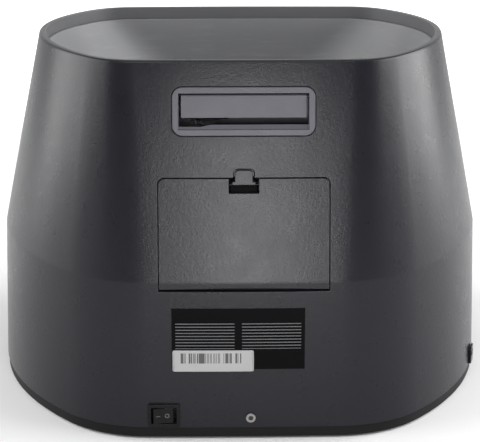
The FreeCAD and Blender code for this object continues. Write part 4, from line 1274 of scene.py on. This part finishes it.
@dataclass
class Studio:
    """Pale floor, soft light and the camera."""

    floor_half: float = 12.0
    wall_light: float = 0.8
    wall_edge: tuple[float, float] = (-0.5, -0.95)
    wall_sides: tuple[float, float] = (1.08, 0.9)
    wall_foot: float = 0.25
    foot_edge: tuple[float, float] = (-0.3, 0.12)
    roof_light: float = 0.3
    roof_edge: tuple[float, float] = (0.45, 0.95)
    room_light: float = 0.06
    lamp_aim: Point = (0.0, 0.0, 0.14)
    floor_colour: Colour = (0.68, 0.68, 0.68)
    floor_drift: float = 0.995
    floor_glow: float = 0.3
    glow_span: tuple[float, float] = (0.18, 0.5)
    far_span: tuple[float, float] = (0.75, 1.15)
    mirror_share: float = 0.42
    camera_at: Point = (0.0218, 1.2498, 0.483)
    camera_dip: float = 16.76
    lens: float = 128.8

    def build(self) -> None:
        """Set up the studio."""
        self.lay_floor()
        self.light_world()
        for lamp in self.lamps():
            lamp.light()
        self.place_camera()
        bpy.context.scene.view_settings.view_transform = "Standard"

    def lamps(self) -> list[Lamp]:
        """Lamps of the studio.

        Returns:
            The lamps: two from above, a small one before the door, and one for each flank.
        """
        return [
            Lamp("key_softbox", (0.25, 1.7, 2.0), self.lamp_aim, wide=1.4, tall=1.0, power=14.0),
            Lamp("top_softbox", (0.0, -0.5, 2.2), self.lamp_aim, wide=1.6, tall=1.2, power=3.0),
            Lamp("front_card", (-0.02, 0.78, 0.18), (-0.02, 0.0, 0.18), wide=0.14, tall=0.3, power=2.0),
            Lamp("left_softbox", (1.15, 0.05, 0.7), (0.0, 0.05, 0.7), wide=1.59, tall=1.1, power=25.0,
                 roll=12.7),
            Lamp("right_softbox", (-1.15, 0.05, 0.715), (0.0, 0.05, 0.715), wide=1.59, tall=1.1, power=36.0,
                 roll=-12.7),
        ]

    def lay_floor(self) -> None:
        """Lay a pale floor that shows as white to the camera and keeps the shadow."""
        shape = bmesh.new()
        bmesh.ops.create_grid(shape, x_segments=1, y_segments=1, size=self.floor_half)
        mesh = bpy.data.meshes.new("floor")
        shape.to_mesh(mesh)
        shape.free()
        floor = bpy.data.objects.new("floor", mesh)
        bpy.context.scene.collection.objects.link(floor)
        kit = Shading("pale_floor")
        kit.fixed(Roughness=1.0, Specular_IOR_Level=0.0, Emission_Color=(1.0, 1.0, 1.0, 1.0))
        worn = shade(self.floor_colour, self.floor_drift)
        kit.drive("Base Color", kit.mix(kit.noise(scale=3.0), worn, self.floor_colour))
        mirrored = kit.node("LightPath").outputs["Is Glossy Ray"]
        seen = kit.combine(kit.seen(), kit.spread(mirrored, 0.0, self.mirror_share), "MAXIMUM")
        reach = kit.reach()
        near = kit.spread(reach, 0.0, self.floor_glow, *self.glow_span)
        far = kit.spread(reach, 0.0, 1.0 - self.floor_glow, *self.far_span)
        kit.drive("Emission Strength", kit.combine(seen, kit.combine(near, far), "MULTIPLY"))
        mesh.materials.append(kit.material)

    def light_world(self) -> None:
        """Fill the surroundings: white for the camera, a studio of soft walls for the object."""
        sky = Sky("studio")
        across, along, up = sky.node("SeparateXYZ", (0, sky.place)).outputs
        walls = sky.spread(along, 0.0, self.wall_light, *self.wall_edge)
        walls = sky.combine(walls, sky.spread(across, *self.wall_sides, -1.0, 1.0), "MULTIPLY")
        walls = sky.combine(walls, sky.spread(up, self.wall_foot, 1.0, *self.foot_edge), "MULTIPLY")
        roof = sky.spread(up, 0.0, self.roof_light, *self.roof_edge)
        soft = sky.combine(sky.combine(walls, roof), self.room_light)
        strength = sky.node("Mix", (0, sky.seen()), (2, soft), (3, 1.0), data_type="FLOAT").outputs[0]
        sky.fixed(Color=(1.0, 1.0, 1.0, 1.0))
        sky.drive("Strength", strength)

    def place_camera(self) -> None:
        """Stand the camera behind the machine, as the photograph was taken."""
        data = bpy.data.cameras.new("camera")
        data.lens = self.lens
        camera = bpy.data.objects.new("camera", data)
        bpy.context.scene.collection.objects.link(camera)
        camera.location = self.camera_at
        level = Vector((-self.camera_at[0], -self.camera_at[1], 0.0)).normalized()
        dip = math.radians(self.camera_dip)
        look = level * math.cos(dip) - Vector((0.0, 0.0, math.sin(dip)))
        camera.rotation_mode = "QUATERNION"
        camera.rotation_quaternion = look.to_track_quat("-Z", "Y")
        bpy.context.scene.camera = camera


def main() -> None:
    """Build the studio and every assembly, and log the pieces of each."""
    logging.basicConfig(level=logging.INFO, format="%(message)s")
    Studio().build()
    groups = (Shell(), CarryHandle(), RearDoor(), RearLabels(), PowerSwitch(), Hopper(), Drive(),
              Sorter(), Drawers(), Controls(), Electrics())
    for group in groups:
        group.build()
        group.report()


if __name__ == "__main__":
    main()
